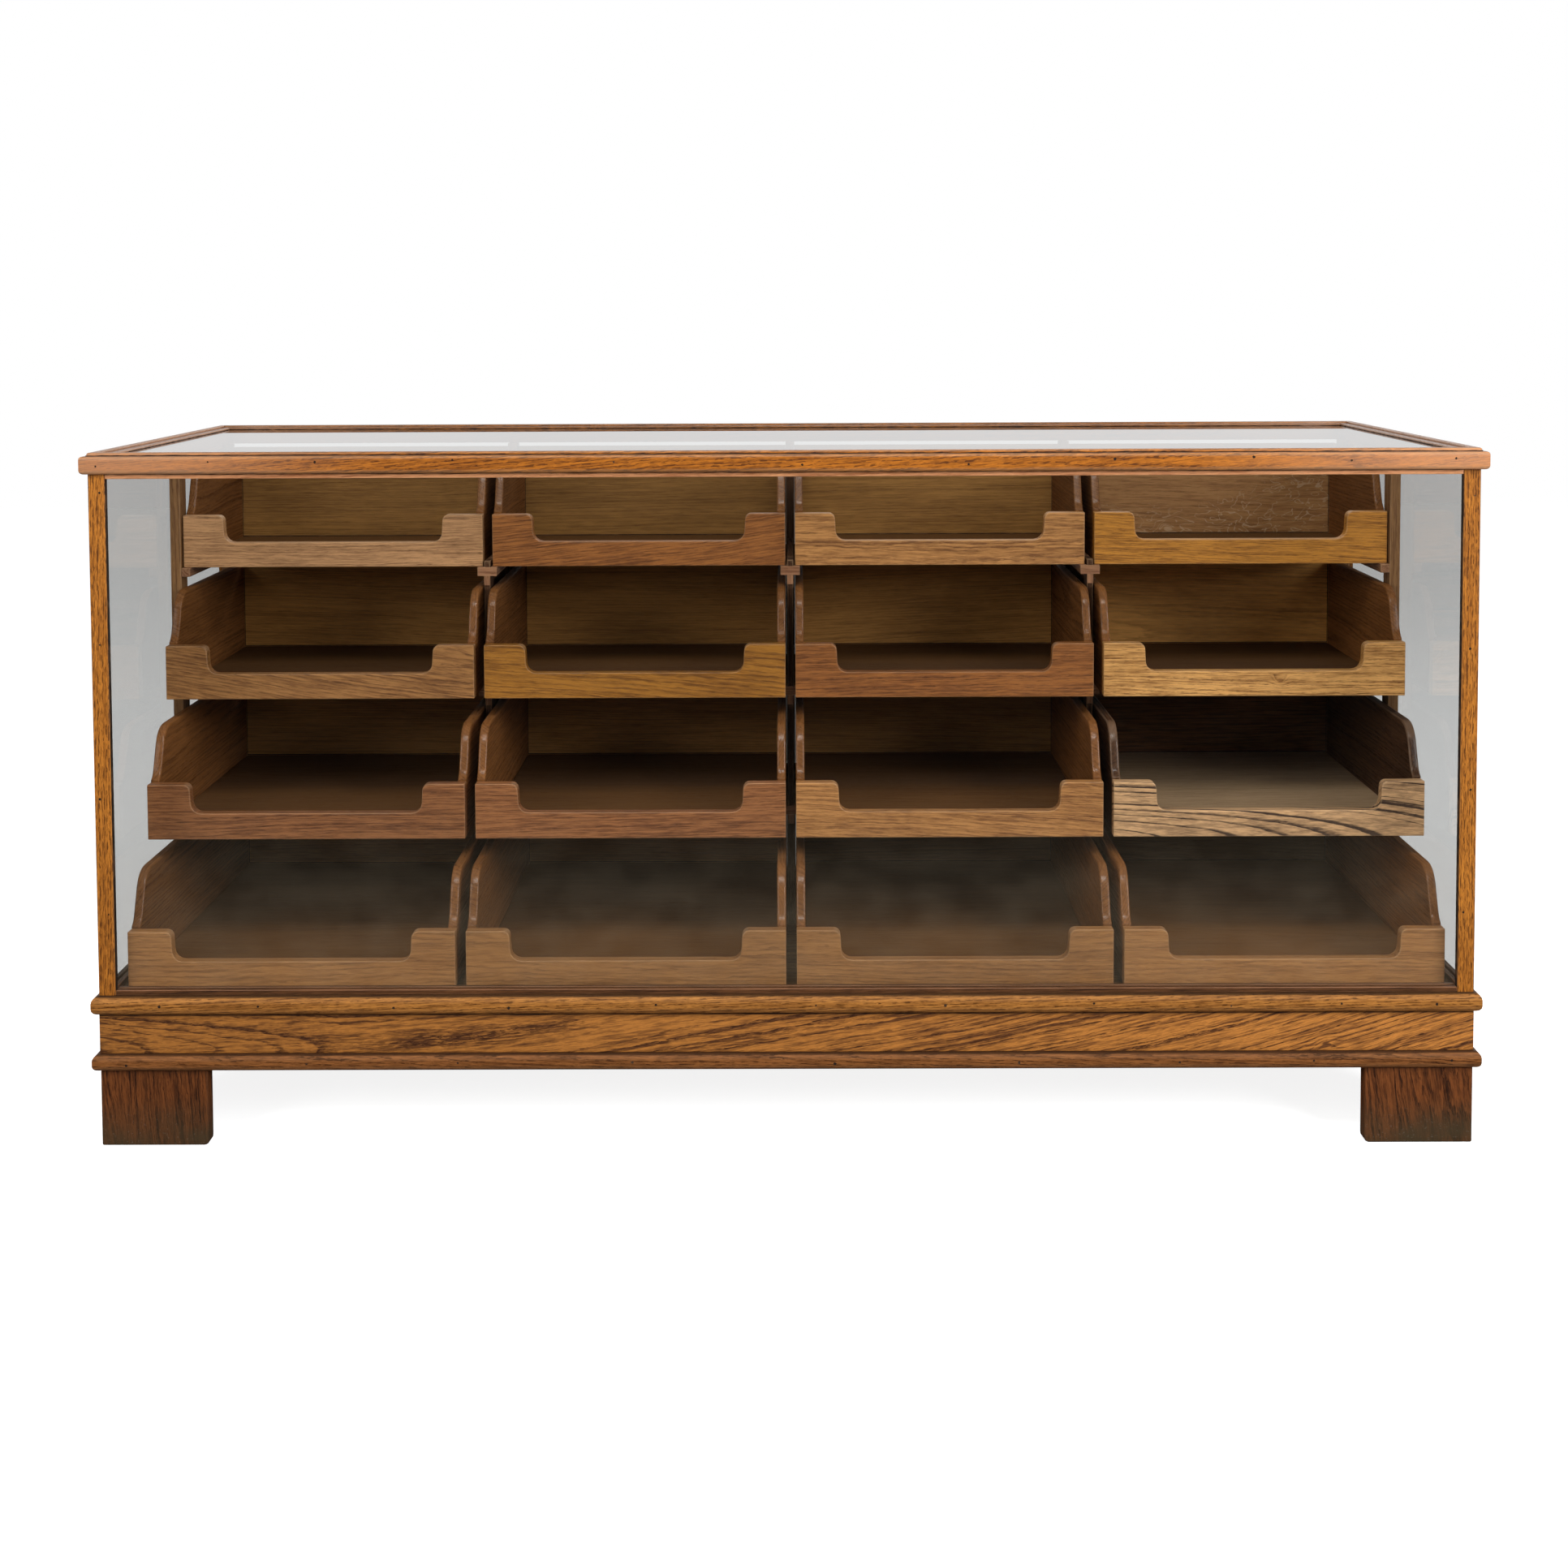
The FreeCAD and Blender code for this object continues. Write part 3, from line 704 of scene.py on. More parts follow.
top = {
    "halfWidth": 0.9145, "halfDepth": 0.305, "height": 0.920, "railBottom": 0.892,
    "railFace": 0.0235, "railWidth": 0.030, "lipInset": 0.008, "lipWidth": 0.010, "ledge": 0.908,
    "glassTop": 0.914, "beadGap": 0.002, "beadTop": 0.9172, "puttyTop": 0.9156,
    "puttyPlay": 0.0001,
}
body = {"x": 0.906, "y": 0.2965, "postSize": 0.022, "glassX": 0.898, "glassY": 0.288,
        "glass": 0.004}
plinth = {
    "footHeight": 0.102, "footWidth": 0.142, "footRounding": 0.0025, "footToe": 0.0065,
    "footWear": 0.007, "footTilt": 0.15, "board": 0.022, "block": 0.040, "blockLift": 0.003,
    "friezeBottom": 0.124, "friezeRounding": 0.001, "friezeWear": 0.003, "friezeStations": 24,
    "sillBottom": 0.177, "sillTop": 0.202,
    "mouldingDepth": 0.0375, "mouldingRounding": 0.36, "rearSillY": 0.2565, "floorTop": 0.190,
    "bearer": 0.025,
}
# paler paints the frieze lighter along its length: painted light
friezeGrain = {"pith": (-0.063, 0.050), "taper": 0.004, "tilt": 0.15, "bow": 0.088, "start": 10.0,
               "paler": 0.22}
moulding = {"wear": 0.004, "stations": 24, "raggedStations": 180}     # lengths in a run
drawers = {
    "widths": (0.436, 0.426, 0.421, 0.425), "gap": 0.014, "rows": 4, "pitch": 0.1758,
    "lowest": 0.203, "recess": 0.032, "stepBack": 0.090, "back": 0.277,
}
sillX = top["halfWidth"] - plinth["mouldingDepth"]
sillY = top["halfDepth"] - plinth["mouldingDepth"]
postX = body["x"] - body["postSize"]
postY = body["y"] - body["postSize"]


def makeFeet():
    height, tight = plinth["footHeight"], plinth["footRounding"]
    for across, side in ((-1, "left"), (1, "right")):
        for deep, end in ((-1, "front"), (1, "rear")):
            shape = newShape()
            outX, inX, farX = (across * (body["x"] - reach)
                               for reach in (0, plinth["board"], plinth["footWidth"]))
            outY, inY, farY = (deep * (body["y"] - reach)
                               for reach in (0, plinth["board"], plinth["footWidth"]))
            block = (inX - across * plinth["block"], inY - deep * plinth["block"], height)
            for first, second, way in (((outX, outY, 0), (farX, inY, height), "z"),
                                       ((outX, inY, 0), (inX, farY, height), "zDeep"),
                                       ((inX, inY, plinth["blockLift"]), block, "z")):
                low, high = corner(first, second)
                sawn = grainOf(way, tilt=dice.uniform(-plinth["footTilt"], plinth["footTilt"]))
                if low[2] > 0:
                    addPlank(shape, low, high, sawn, "oak_foot", tight, plinth["footWear"])
                    continue
                run = 0 if way == "z" else 1          # the board's long side: x or y
                near, far = low[run], high[run]
                outline = [(near, 0, tight), (far, 0, tight), (far, height, tight),
                           (near, height, tight)]
                toe = 0 if abs(near) < abs(far) else 1        # the corner nearer the middle
                outline[toe] = (*outline[toe][:2], plinth["footToe"])

                def place(a, b, inwards, run=run, base=low[1 - run]):
                    return (a, base + inwards, b) if run == 0 else (base + inwards, a, b)

                addBoard(shape, outline, place, high[1 - run] - low[1 - run], sawn, "oak_foot",
                         tight, plinth["footWear"])
            node = "foot_%s_%s" % (end, side)
            finishShape(shape, node + "_boards", node)


def rectangle(near, far, low, high, radius):
    return [(near, low, radius), (near, high, radius), (far, high, radius), (far, low, radius)]


def mouldedRun(shape, profile, kind, material, rear=None, wear=moulding["wear"], ragged=0,
               **figure):
    # one length of a moulding along the front, the rear, or the left or right end, where it
    # stops at rear or else is mitred; its profile holds (inwards, height, radius)
    halfX, halfY = top["halfWidth"], top["halfDepth"]
    way = -1 if kind in ("front", "left") else 1
    along = "x" if kind in ("front", "rear") else "y"
    count = moulding["raggedStations"] if ragged else moulding["stations"]
    ring = outlineRing(profile, 0, wear)
    rings = []
    for k in range(count + 1):
        share = k / count
        jitter = crumbs.uniform(-ragged, ragged)
        points = []
        for inwards, z, edge in ring:
            if along == "x":
                reach = halfX - inwards
                point = (-reach + 2 * reach * share, way * (halfY - inwards), z + jitter)
            else:
                start = -(halfY - inwards)
                end = halfY - inwards if rear is None else rear
                point = (way * (halfX - inwards), start + (end - start) * share, z + jitter)
            points.append((point, edge))
        rings.append(points)
    addRings(shape, rings, grainOf(along, **figure), material)


def makePlinth():
    x, y = body["x"], body["y"]
    low, high = plinth["friezeBottom"], plinth["sillBottom"]
    for node, boards in (
            ("plinth_front_rail", (((-x, x), (-y, -postY), "x"),)),
            ("plinth_rear_rail", (((-x, x), (postY, y), "x"),)),
            ("plinth_side_rails", (((-postY, postY), (-x, -postX), "y"),
                                   ((-postY, postY), (postX, x), "y")))):
        shape = newShape()
        for (start, end), (near, far), along in boards:
            outline = rectangle(near, far, low, high, plinth["friezeRounding"])
            ring = outlineRing(outline, 0, plinth["friezeWear"])
            rings = []
            for k in range(plinth["friezeStations"] + 1):
                at = start + (end - start) * k / plinth["friezeStations"]
                rings.append([((at, a, z) if along == "x" else (a, at, z), 0.0)
                              for a, z, _ in ring])
            addRings(shape, rings, grainOf(along, **friezeGrain), "oak_frieze")
        finishShape(shape, node + "_board", node)

    depth = plinth["mouldingDepth"]
    for node, low, high, material in (
            ("lower_moulding", plinth["footHeight"], plinth["friezeBottom"], "oak_low_moulding"),
            ("upper_moulding", plinth["sillBottom"], plinth["sillTop"], "oak_moulding")):
        shape = newShape()
        radius = (high - low) * plinth["mouldingRounding"]
        profile = [(0, low, radius), (0, high, radius), (depth, high, arris["sharp"]),
                   (depth, low, arris["sharp"])]
        for kind in ("front", "left", "right"):
            mouldedRun(shape, profile, kind, material, rear=y)
        addPlank(shape, (-sillX, plinth["rearSillY"], low), (sillX, y, high), grainOf("x"),
                 material)
        finishShape(shape, node + "_lengths", node)

    makePlanks("floor_board_plank", "inner_oak", "floor_board", [
        ((-sillX, -sillY, plinth["sillBottom"]), (sillX, plinth["rearSillY"], plinth["floorTop"]),
         "xFlat", "oak_inner")])
    half = plinth["bearer"] / 2
    makePlanks("floor_bearers_planks", "inner_oak", "floor_bearers", [
        ((middle - half, -postY, plinth["friezeBottom"]),
         (middle + half, postY, plinth["sillBottom"]), "y", "oak_inner")
        for middle in gapCentres()])


def columnEdges():
    left = -(sum(drawers["widths"]) + drawers["gap"] * (len(drawers["widths"]) - 1)) / 2
    edges = []
    for width in drawers["widths"]:
        edges.append((left, left + width))
        left += width + drawers["gap"]
    return edges


def gapCentres():
    return [right + drawers["gap"] / 2 for _, right in columnEdges()[:-1]]


makeFeet()
makePlinth()
print("plinth built")


# posts, beads and glass

beads = {"height": 0.0065, "thickness": 0.0065, "setback": 0.0015, "rounding": 0.0009,
         "wear": 0.002, "corner": 0.004, "puttyWidth": 0.0006, "puttyFront": 0.0012,
         "puttyRounding": 0.0004, "puttyWear": 0.001}
post = {"outerRadius": 0.0016, "sideRadius": 0.0012, "rounding": 0.0004, "wear": 0.0025,
        "taper": 0.012}
uprights = {"side": 0.015, "centre": 0.009, "rearCentre": 0.0138, "depth": 0.030,
            "front": -0.009, "runner": 0.013, "ledger": 0.0095, "sideRunner": 0.013, "nib": 0.009,
            "strip": 0.0015,  # the thin wood in front of the runners' ends
            "stem": 0.0135,   # how far it shows on an upright under its ledgers
            "stripRounding": 0.0006, "stripWear": 0.0007}
innerX = body["glassX"] - body["glass"]
innerY = body["glassY"] - body["glass"]
sideRear = postY - uprights["depth"]
centreRear = body["glassY"] - uprights["depth"]
uprightRear = uprights["front"] + uprights["depth"]


def makePosts():
    sill, rail, sharp = plinth["sillTop"], top["railBottom"], arris["sharp"]
    outer, soft = post["outerRadius"], post["sideRadius"]
    for node, deep in (("front_posts", -1), ("rear_posts", 1)):
        shape = newShape()
        for across in (-1, 1):
            x = [across * value for value in (body["x"], postX, body["glassX"])]
            y = [deep * value for value in (body["y"], body["glassY"], postY)]
            corners = [(x[0], y[0], outer), (x[1], y[0], soft), (x[1], y[1], sharp),
                       (x[2], y[1], sharp), (x[2], y[2], sharp), (x[0], y[2], soft)]
            addBoard(shape, corners, lambda a, b, up: (a, b, sill + up), rail - sill,
                     grainOf("z", taper=post["taper"]), "oak_post", post["rounding"],
                     post["wear"])
        finishShape(shape, node + "_lengths", node)

    makePlanks("post_beads_lengths", "frame_oak", "post_beads", [
        ((across * innerX, near, sill), (across * (innerX - beads["corner"]), far, rail), "z",
         "oak_bead")
        for across in (-1, 1) for near, far in ((-innerY, -postY), (postY, body["glassY"]))
    ], beads["rounding"], beads["wear"])
    # the black line of putty down the inner side of each front post, which also paints shade on
    # that side
    makePlanks("post_putty", "frame_oak", None, [
        ((across * postX, beads["puttyFront"] - body["y"], sill + beads["height"]),
         (across * (postX - beads["puttyWidth"]), -body["glassY"], rail - beads["height"]), "z",
         "putty_black") for across in (-1, 1)
    ], beads["puttyRounding"], beads["puttyWear"])


def makeGlazingBeads():
    height, thickness = beads["height"], beads["thickness"]
    for node, low, material in (
            ("lower_glazing_beads", plinth["sillTop"], "oak_low_bead"),
            ("upper_glazing_beads", top["railBottom"] - height, "oak_bead")):
        lengths = [((-postX, beads["setback"] - body["y"]), (postX, -body["glassY"]), "x"),
                   ((-postX, -innerY), (postX, thickness - innerY), "x")]
        for across in (-1, 1):
            lengths.append(((across * (body["x"] - beads["setback"]), -postY),
                            (across * body["glassX"], postY), "y"))
            for near, far in ((-postY, uprights["front"]), (uprightRear, sideRear)):
                lengths.append(((across * innerX, near), (across * (innerX - thickness), far), "y"))
        makePlanks(node + "_lengths", "frame_oak", node, [
            ((*start, low), (*end, low + height), along, material)
            for start, end, along in lengths], beads["rounding"], beads["wear"])


def dressGlass():
    for node, material in (("front_glass", "glass_front"), ("side_glass_left", "glass_end"),
                           ("side_glass_right", "glass_end"), ("top_glass", "glass_top")):
        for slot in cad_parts[node].material_slots:
            slot.material = bpy.data.materials[material]


makePosts()
makeGlazingBeads()
dressGlass()
print("posts and glazing built")


# the top frame

topRounding = {"noseLow": 0.0052, "noseHigh": 0.004, "lipOuter": 0.0025, "lipInner": 0.002,
               "beadOuter": 0.001, "beadInner": 0.002}
# painted shade: the rear and end rails darker than the front
topShades = {"front": 1.0, "rear": 0.65, "left": 0.85, "right": 0.72}
topGrain = {"taper": 0.02, "tilt": 0.09, "paler": 0.09}
topWear = {"rail": 0.003, "bead": 0.002}
beadShade = 0.8
# painted shade, with some dirt, in the corners at the lip and the glass and under the rail
dirtLines = {                 # how far each reaches past its corner: in from, in to, up from, up to
    "lip": (-0.0009, 0.0, 0.0, 0.0011),
    "glass": (0.0, 0.0009, 0.0, 0.0006),
    "underside": (0.0007, 0.0015, -0.0009, 0.0002),
}
dirtEdge = {"radius": 0.0001, "wear": 0.0002, "ragged": 0.0004}


def makeTop():
    sharp, ledge, glass = arris["sharp"], top["ledge"], top["glassTop"]
    nose = top["railBottom"] + top["railFace"]
    lipOuter, lipInner = top["lipInset"], top["lipInset"] + top["lipWidth"]
    outer, inner = lipInner + top["beadGap"], top["railWidth"]
    profile = [(0, top["railBottom"], topRounding["noseLow"]), (0, nose, topRounding["noseHigh"]),
               (lipOuter, nose, sharp), (lipOuter, top["height"], topRounding["lipOuter"]),
               (lipInner, top["height"], topRounding["lipInner"]), (lipInner, ledge, sharp),
               (inner, ledge, sharp), (inner, top["railBottom"], sharp)]
    for node, kinds in (("top_front_rail", ("front",)), ("top_rear_rail", ("rear",)),
                        ("top_side_rails", ("left", "right"))):
        shape = newShape()
        for kind in kinds:
            mouldedRun(shape, profile, kind, "oak_rail", wear=topWear["rail"],
                       shade=topShades[kind], **topGrain)
        finishShape(shape, node + "_lengths", node)

    profile = [(outer, glass, sharp), (outer, top["beadTop"], topRounding["beadOuter"]),
               (inner, top["beadTop"], topRounding["beadInner"]), (inner, glass, sharp)]
    shape = newShape()
    for kind, shade in topShades.items():
        mouldedRun(shape, profile, kind, "oak_rail", wear=topWear["bead"],
                   shade=beadShade * shade)
    finishShape(shape, "top_glass_beads_lengths", "top_glass_beads")

    shape = newShape()
    profile = rectangle(lipInner + top["puttyPlay"], outer - top["puttyPlay"], glass,
                        top["puttyTop"], sharp)
    for kind in topShades:
        mouldedRun(shape, profile, kind, "putty_black", wear=dirtEdge["wear"])
    for name, inwards, height in (("lip", lipOuter, nose), ("glass", inner, glass),
                                  ("underside", top["halfDepth"] - body["y"], top["railBottom"])):
        near, far, low, high = dirtLines[name]
        profile = rectangle(inwards + near, inwards + far, height + low, height + high,
                            dirtEdge["radius"])
        for kind in topShades:
            mouldedRun(shape, profile, kind, "putty_black", wear=dirtEdge["wear"],
                       ragged=dirtEdge["ragged"])
    finishShape(shape, "top_glass_putty")


nails = {                     # x along each front face; z and the face's y come from the part
    "rail": (-0.893, -0.741, -0.61, -0.43, -0.22, 0.03, 0.24, 0.42, 0.61, 0.74, 0.87),
    "upper": (-0.828, -0.70, -0.52, -0.36, -0.17, 0.05, 0.22, 0.41, 0.58, 0.72, 0.86),
    "lower": (-0.868, -0.63, -0.44, -0.21, 0.06, 0.30, 0.52, 0.70, 0.876),
    "post": (0.30, 0.47, 0.66, 0.865),                # these are heights
    "radius": (0.0011, 0.0020), "ragged": (0.75, 1.2), "sides": 9, "proud": 0.00008,
    "deep": 0.002, "railShare": 0.55,
    "astray": {"rail": 0.01, "postX": 0.006, "postZ": 0.02},      # how far off its place
    # the band they lie in, from the face's lower edge and its upper; the rail's from its middle
    "band": {"rail": (-0.004, 0.005), "upper": (0.010, -0.010), "lower": (0.009, -0.009)},
}


def addNail(shape, x, face, z):
    # a punched nail hole, filled black: a ragged little disc just proud of the front face
    radius = dice.uniform(*nails["radius"])
    points = []
    for k in range(nails["sides"]):
        length, angle = radius * dice.uniform(*nails["ragged"]), math.tau * k / nails["sides"]
        points.append((x + length * math.cos(angle), z + length * math.sin(angle)))
    rings = [[((a, face + deep, b), 0.0) for a, b in points]
             for deep in (nails["deep"], -nails["proud"])]
    addRings(shape, rings, grainOf("x"), "putty_black")


def makeNails():
    shape = newShape()
    astray = nails["astray"]
    railMiddle = top["railBottom"] + top["railFace"] * nails["railShare"]
    for name, low, high in (("rail", railMiddle, railMiddle),
                            ("upper", plinth["sillBottom"], plinth["sillTop"]),
                            ("lower", plinth["footHeight"], plinth["friezeBottom"])):
        fromLow, fromHigh = nails["band"][name]
        for x in nails[name]:
            addNail(shape, x + dice.uniform(-astray["rail"], astray["rail"]), -top["halfDepth"],
                    dice.uniform(low + fromLow, high + fromHigh))
    for across in (-1, 1):
        middle = across * (body["x"] - body["postSize"] / 2)
        for z in nails["post"]:
            addNail(shape, middle + dice.uniform(-astray["postX"], astray["postX"]), -body["y"],
                    z + dice.uniform(-astray["postZ"], astray["postZ"]))
    finishShape(shape, "nail_holes")


makeTop()
makeNails()
print("top built")


# uprights and runners inside

stemGrain = {"along": "z", "pith": (0.05, 0.03), "taper": 0.0, "tilt": 0.0, "shade": 1.0,
             "bow": 0.0, "paler": 0.0}


def rowBottom(row):
    return drawers["lowest"] + (drawers["rows"] - row) * drawers["pitch"]


def makeUprights():
    front, rail = uprights["front"], top["railBottom"]
    makePlanks("side_uprights_lengths", "inner_oak", "side_uprights", [
        ((across * (uprights["side"] + sillX), near, plinth["sillTop"]),
         (across * sillX, near + uprights["depth"], rail), "z", "oak_inner")
        for near in (front, sideRear) for across in (-1, 1)])

    half, rearHalf = uprights["centre"] / 2, uprights["rearCentre"] / 2
    planks = []
    for x in gapCentres():
        planks += [((x - half, front, plinth["floorTop"]),
                    (x + half, uprightRear, rowBottom(1) + uprights["nib"]), "z", "oak_shadowed"),
                   ((x - rearHalf, centreRear, plinth["sillTop"]),
                    (x + rearHalf, centreRear + uprights["depth"], rail), "zDeep", "oak_runner")]
    makePlanks("centre_uprights_lengths", "inner_oak", "centre_uprights", planks)

    sides, middles = newShape(), newShape()
    reach = half + uprights["ledger"]
    stripFront = front - uprights["strip"]
    stripEdge = (uprights["stripRounding"], uprights["stripWear"])
    for row in range(1, drawers["rows"] + 1):
        high = rowBottom(row)
        low = high - uprights["runner"]
        rear = plinth["rearSillY"] if row == drawers["rows"] else drawers["back"]
        for across in (-1, 1):
            addPlank(sides, (across * sillX, front, low),
                     (across * (sillX - uprights["sideRunner"]), rear, high), grainOf("y"),
                     "oak_runner")
        for x in gapCentres():
            for left, right, begin, upTo in (
                    (x - half - uprights["ledger"], x - half, front, high),
                    (x + half, x + half + uprights["ledger"], front, high),
                    (x - half, x + half, uprightRear, high + uprights["nib"])):
                addPlank(middles, (left, begin, low), (right, min(rear, centreRear), upTo),
                         grainOf("y"), "oak_runner")
            addPlank(middles, (x - reach, stripFront, low), (x + reach, front, high),
                     grainOf("x"), "oak_runner", *stripEdge)
            if row < drawers["rows"]:
                addPlank(middles, (x - half, stripFront, low - uprights["stem"]),
                         (x + half, front, low), {**stemGrain, "start": 4.0 + row + x},
                         "oak_runner", *stripEdge)
    finishShape(sides, "side_runners_lengths", "side_runners")
    finishShape(middles, "centre_runners_lengths", "centre_runners")


makeUprights()
print("uprights and runners built")


# the drawers

box = {
    "front": 0.016, "frontHeight": 0.076, "scoopHeight": 0.036, "shoulderTop": 0.058,
    "shoulderSlant": 0.002, "shoulderRadius": 0.009, "scoopRadius": 0.014, "side": 0.012,
    "sideHeight": 0.147, "sideFront": 0.079,
    "sideCurve": ((0.024, 0.085, 0.024), (0.047, 0.147, 0.034)),
    "back": 0.012, "backHeight": 0.156, "bottom": 0.006, "bottomRaise": 0.008,
    "corner": 0.0012,         # radius of a board's corners
    "frontRounding": 0.0011, "frontWear": 0.003, "sideRounding": 0.0022, "backRounding": 0.0006,
    "joint": 0.0008,          # open joints round the bottom and at the sides' rear ends
    "grime": 0.0012,          # width of the painted shade strip along the floor's rear edge, for the dark open joint
    "cornerGrime": 0.0007,    # and up the two corners
}
fronts = (("oak_grey_tan", "oak_rose", "oak_tan", "oak_golden"),
          ("oak_tan", "oak_golden", "oak_rose", "oak_straw"),
          ("oak_red", "oak_red", "oak_tan", "oak_pale"), ("oak_calm_tan",) * 4)
# each front's own tone, with painted light row by row
frontShades = ((1.06, 0.90, 1.06, 1.20), (0.78, 0.83, 0.79, 1.10), (0.74, 0.94, 1.05, 1.16),
               (0.83, 0.82, 0.74, 0.88))
floorShades = (1.0, 0.72, 0.95, 1.06)                 # painted shade on the bottoms, row by row
# painted light and shade on the inner side of each back
backShades = ((0.86, 0.82, 1.05, 1.0), (1.7, 1.4, 1.6, 2.2), (1.25, 1.5, 1.1, 1.3),
              (1.05, 1.1, 0.6, 0.3))
figures = {                   # drawers whose fronts have a figure of their own
    (1, 2): {"tilt": 0.11}, (1, 3): {"tilt": 0.0}, (2, 1): {"tilt": -0.15},
    (2, 2): {"tilt": -0.09}, (2, 4): {"tilt": 0.012, "start": 20.0, "pith": (0.060, 0.050)},
    (3, 3): {"tilt": -0.05}, (3, 4): {"pith": (0.036, 0.030), "taper": 0.11, "tilt": -0.03},
    (4, 4): {"tilt": -0.02, "pith": (0.02, 0.04)},
}
insides = {                   # what a drawer's sides, back and bottom are made of
    "others": ("oak_side", "oak_inside", "board_base"),
    (1, 4): ("oak_side", "oak_inside_quartered", "board_base"),
    (3, 4): ("oak_side_dark", "oak_inside_dark", "board_base_grey"),
}


def makeDrawer(row, column, left, right):
    shape = newShape()
    front = -top["halfDepth"] + drawers["recess"] + (drawers["rows"] - row) * drawers["stepBack"]
    bottom = rowBottom(row)
    back = drawers["back"]
    frontTop = bottom + box["frontHeight"]
    scoop = bottom + box["scoopHeight"]
    foot = box["shoulderTop"] + box["shoulderSlant"]
    small, shoulder, hollow = box["corner"], box["shoulderRadius"], box["scoopRadius"]
    corners = [(left, bottom, small), (left, frontTop, small),
               (left + box["shoulderTop"], frontTop, shoulder), (left + foot, scoop, hollow),
               (right - foot, scoop, hollow), (right - box["shoulderTop"], frontTop, shoulder),
               (right, frontTop, small), (right, bottom, small)]
    sawn = grainOf("x", **figures.get((row, column), {}))
    sawn["shade"] *= frontShades[row - 1][column - 1]
    addBoard(shape, corners, lambda a, b, deep: (a, front + deep, b), box["front"], sawn,
             fronts[row - 1][column - 1], box["frontRounding"], box["frontWear"])

    start = front + box["front"]
    rear = back - box["back"]
    sideEnd = rear - box["joint"]
    corners = [(start, bottom, small), (start, bottom + box["sideFront"], small)]
    corners += [(front + behind, bottom + up, radius) for behind, up, radius in box["sideCurve"]]
    corners += [(sideEnd, bottom + box["sideHeight"], small), (sideEnd, bottom, small)]
    sideLook, backLook, baseLook = insides.get((row, column), insides["others"])
    for x in (left, right - box["side"]):
        addBoard(shape, corners, lambda a, b, deep, x=x: (x + deep, a, b), box["side"],
                 grainOf("y"), sideLook, box["sideRounding"])

    first = len(shape["verts"])
    addPlank(shape, (left, rear, bottom), (right, back, bottom + box["backHeight"]), grainOf("x"),
             backLook, box["backRounding"])
    for k in range(first, len(shape["verts"])):       # painted light: only its inner side has its shade changed
        if shape["verts"][k][1] < rear + box["back"] / 2:
            shape["shade"][k] *= backShades[row - 1][column - 1]
    low = bottom + box["bottomRaise"]
    floor = low + box["bottom"]
    inset = box["side"] + box["joint"]
    sawn = grainOf("xFlat")
    sawn["shade"] *= floorShades[row - 1]
    addPlank(shape, (left + inset, start, low), (right - inset, rear - 2 * box["joint"], floor),
             sawn, baseLook)

    # painted shade: thin black strips where the back meets the floor and the sides
    grimeTop = bottom + box["sideHeight"] - box["grime"]
    leftWall, rightWall, width = left + box["side"], right - box["side"], box["cornerGrime"]
    for x0, x1, upTo in ((left + inset, right - inset, floor + box["grime"]),
                         (leftWall, leftWall + width, grimeTop),
                         (rightWall - width, rightWall, grimeTop)):
        addPlank(shape, (x0, rear - box["grime"] / 2, floor), (x1, rear, upTo), grainOf("x"),
                 "putty_black", dirtEdge["radius"], dirtEdge["wear"])
    name = "row%d_col%d" % (row, column)
    finishShape(shape, "drawer_%s_boards" % name, "drawer_" + name,
                "drawer_body_" + name)


pull = {
    "halfLength": 0.042, "reach": 0.021, "wall": 0.002, "endAngle": 8.0, "height": 0.066,
    "ear": 0.007, "earThickness": 0.0016, "earRim": 0.0006, "earSpacing": 0.092,
    "screw": 0.0036, "screwHeight": 0.0014, "screwRim": 0.0008,
    "steps": 32, "turns": 10, "discSides": 28, "sharpAngle": 40,
    "rimBend": 0.3, "discMiddle": 0.3,                # where a disc's last rings lie
}


def disc(x, y, z, radius, thickness, rim):
    # rings of a thin round plate standing out along +Y, with its outer rim rounded
    sides, bend = pull["discSides"], pull["rimBend"]
    angles = [math.tau * k / sides for k in range(sides)]
    return [[((x + radius * share * math.cos(angle), y + deep,
               z + radius * share * math.sin(angle)), 0.0) for angle in angles]
            for share, deep in (
                (1, 0), (1, thickness - rim), (1 - bend * rim / radius, thickness - bend * rim),
                (1 - rim / radius, thickness), (pull["discMiddle"], thickness))]


def makePull(row, column, left, right):
    # half a cup: a double wall swept round from one end to the other, with an ear at each end
    shape = newShape()
    x, y, z = (left + right) / 2, drawers["back"], rowBottom(row) + pull["height"]
    plain = grainOf("x")
    stop = math.radians(pull["endAngle"])
    turns = range(pull["turns"] + 1)
    rings = []
    for k in range(pull["steps"] + 1):
        theta = stop + (math.pi - 2 * stop) * k / pull["steps"]
        ring = []
        for inset, order in ((0, turns), (pull["wall"], reversed(turns))):
            reach = (pull["reach"] - inset) * math.sin(theta)
            along = (pull["halfLength"] - inset) * math.cos(theta)
            for t in order:
                phi = math.pi / 2 * t / pull["turns"]
                point = (x + along, y + reach * math.cos(phi), z + reach * math.sin(phi))
                ring.append((point, 0.0))
        rings.append(ring)
    addRings(shape, rings, plain, "brass_aged")
    for side in (-1, 1):
        at, up = x + side * pull["earSpacing"] / 2, z + pull["ear"]
        for out, radius, thickness, rim in (
                (y, pull["ear"], pull["earThickness"], pull["earRim"]),
                (y + pull["earThickness"], pull["screw"], pull["screwHeight"], pull["screwRim"])):
            addRings(shape, disc(at, out, up, radius, thickness, rim), plain, "brass_aged")
    name = "row%d_col%d" % (row, column)
    finishShape(shape, "pull_%s_cup" % name, "pull_" + name, "drawer_body_" + name,
                pull["sharpAngle"])


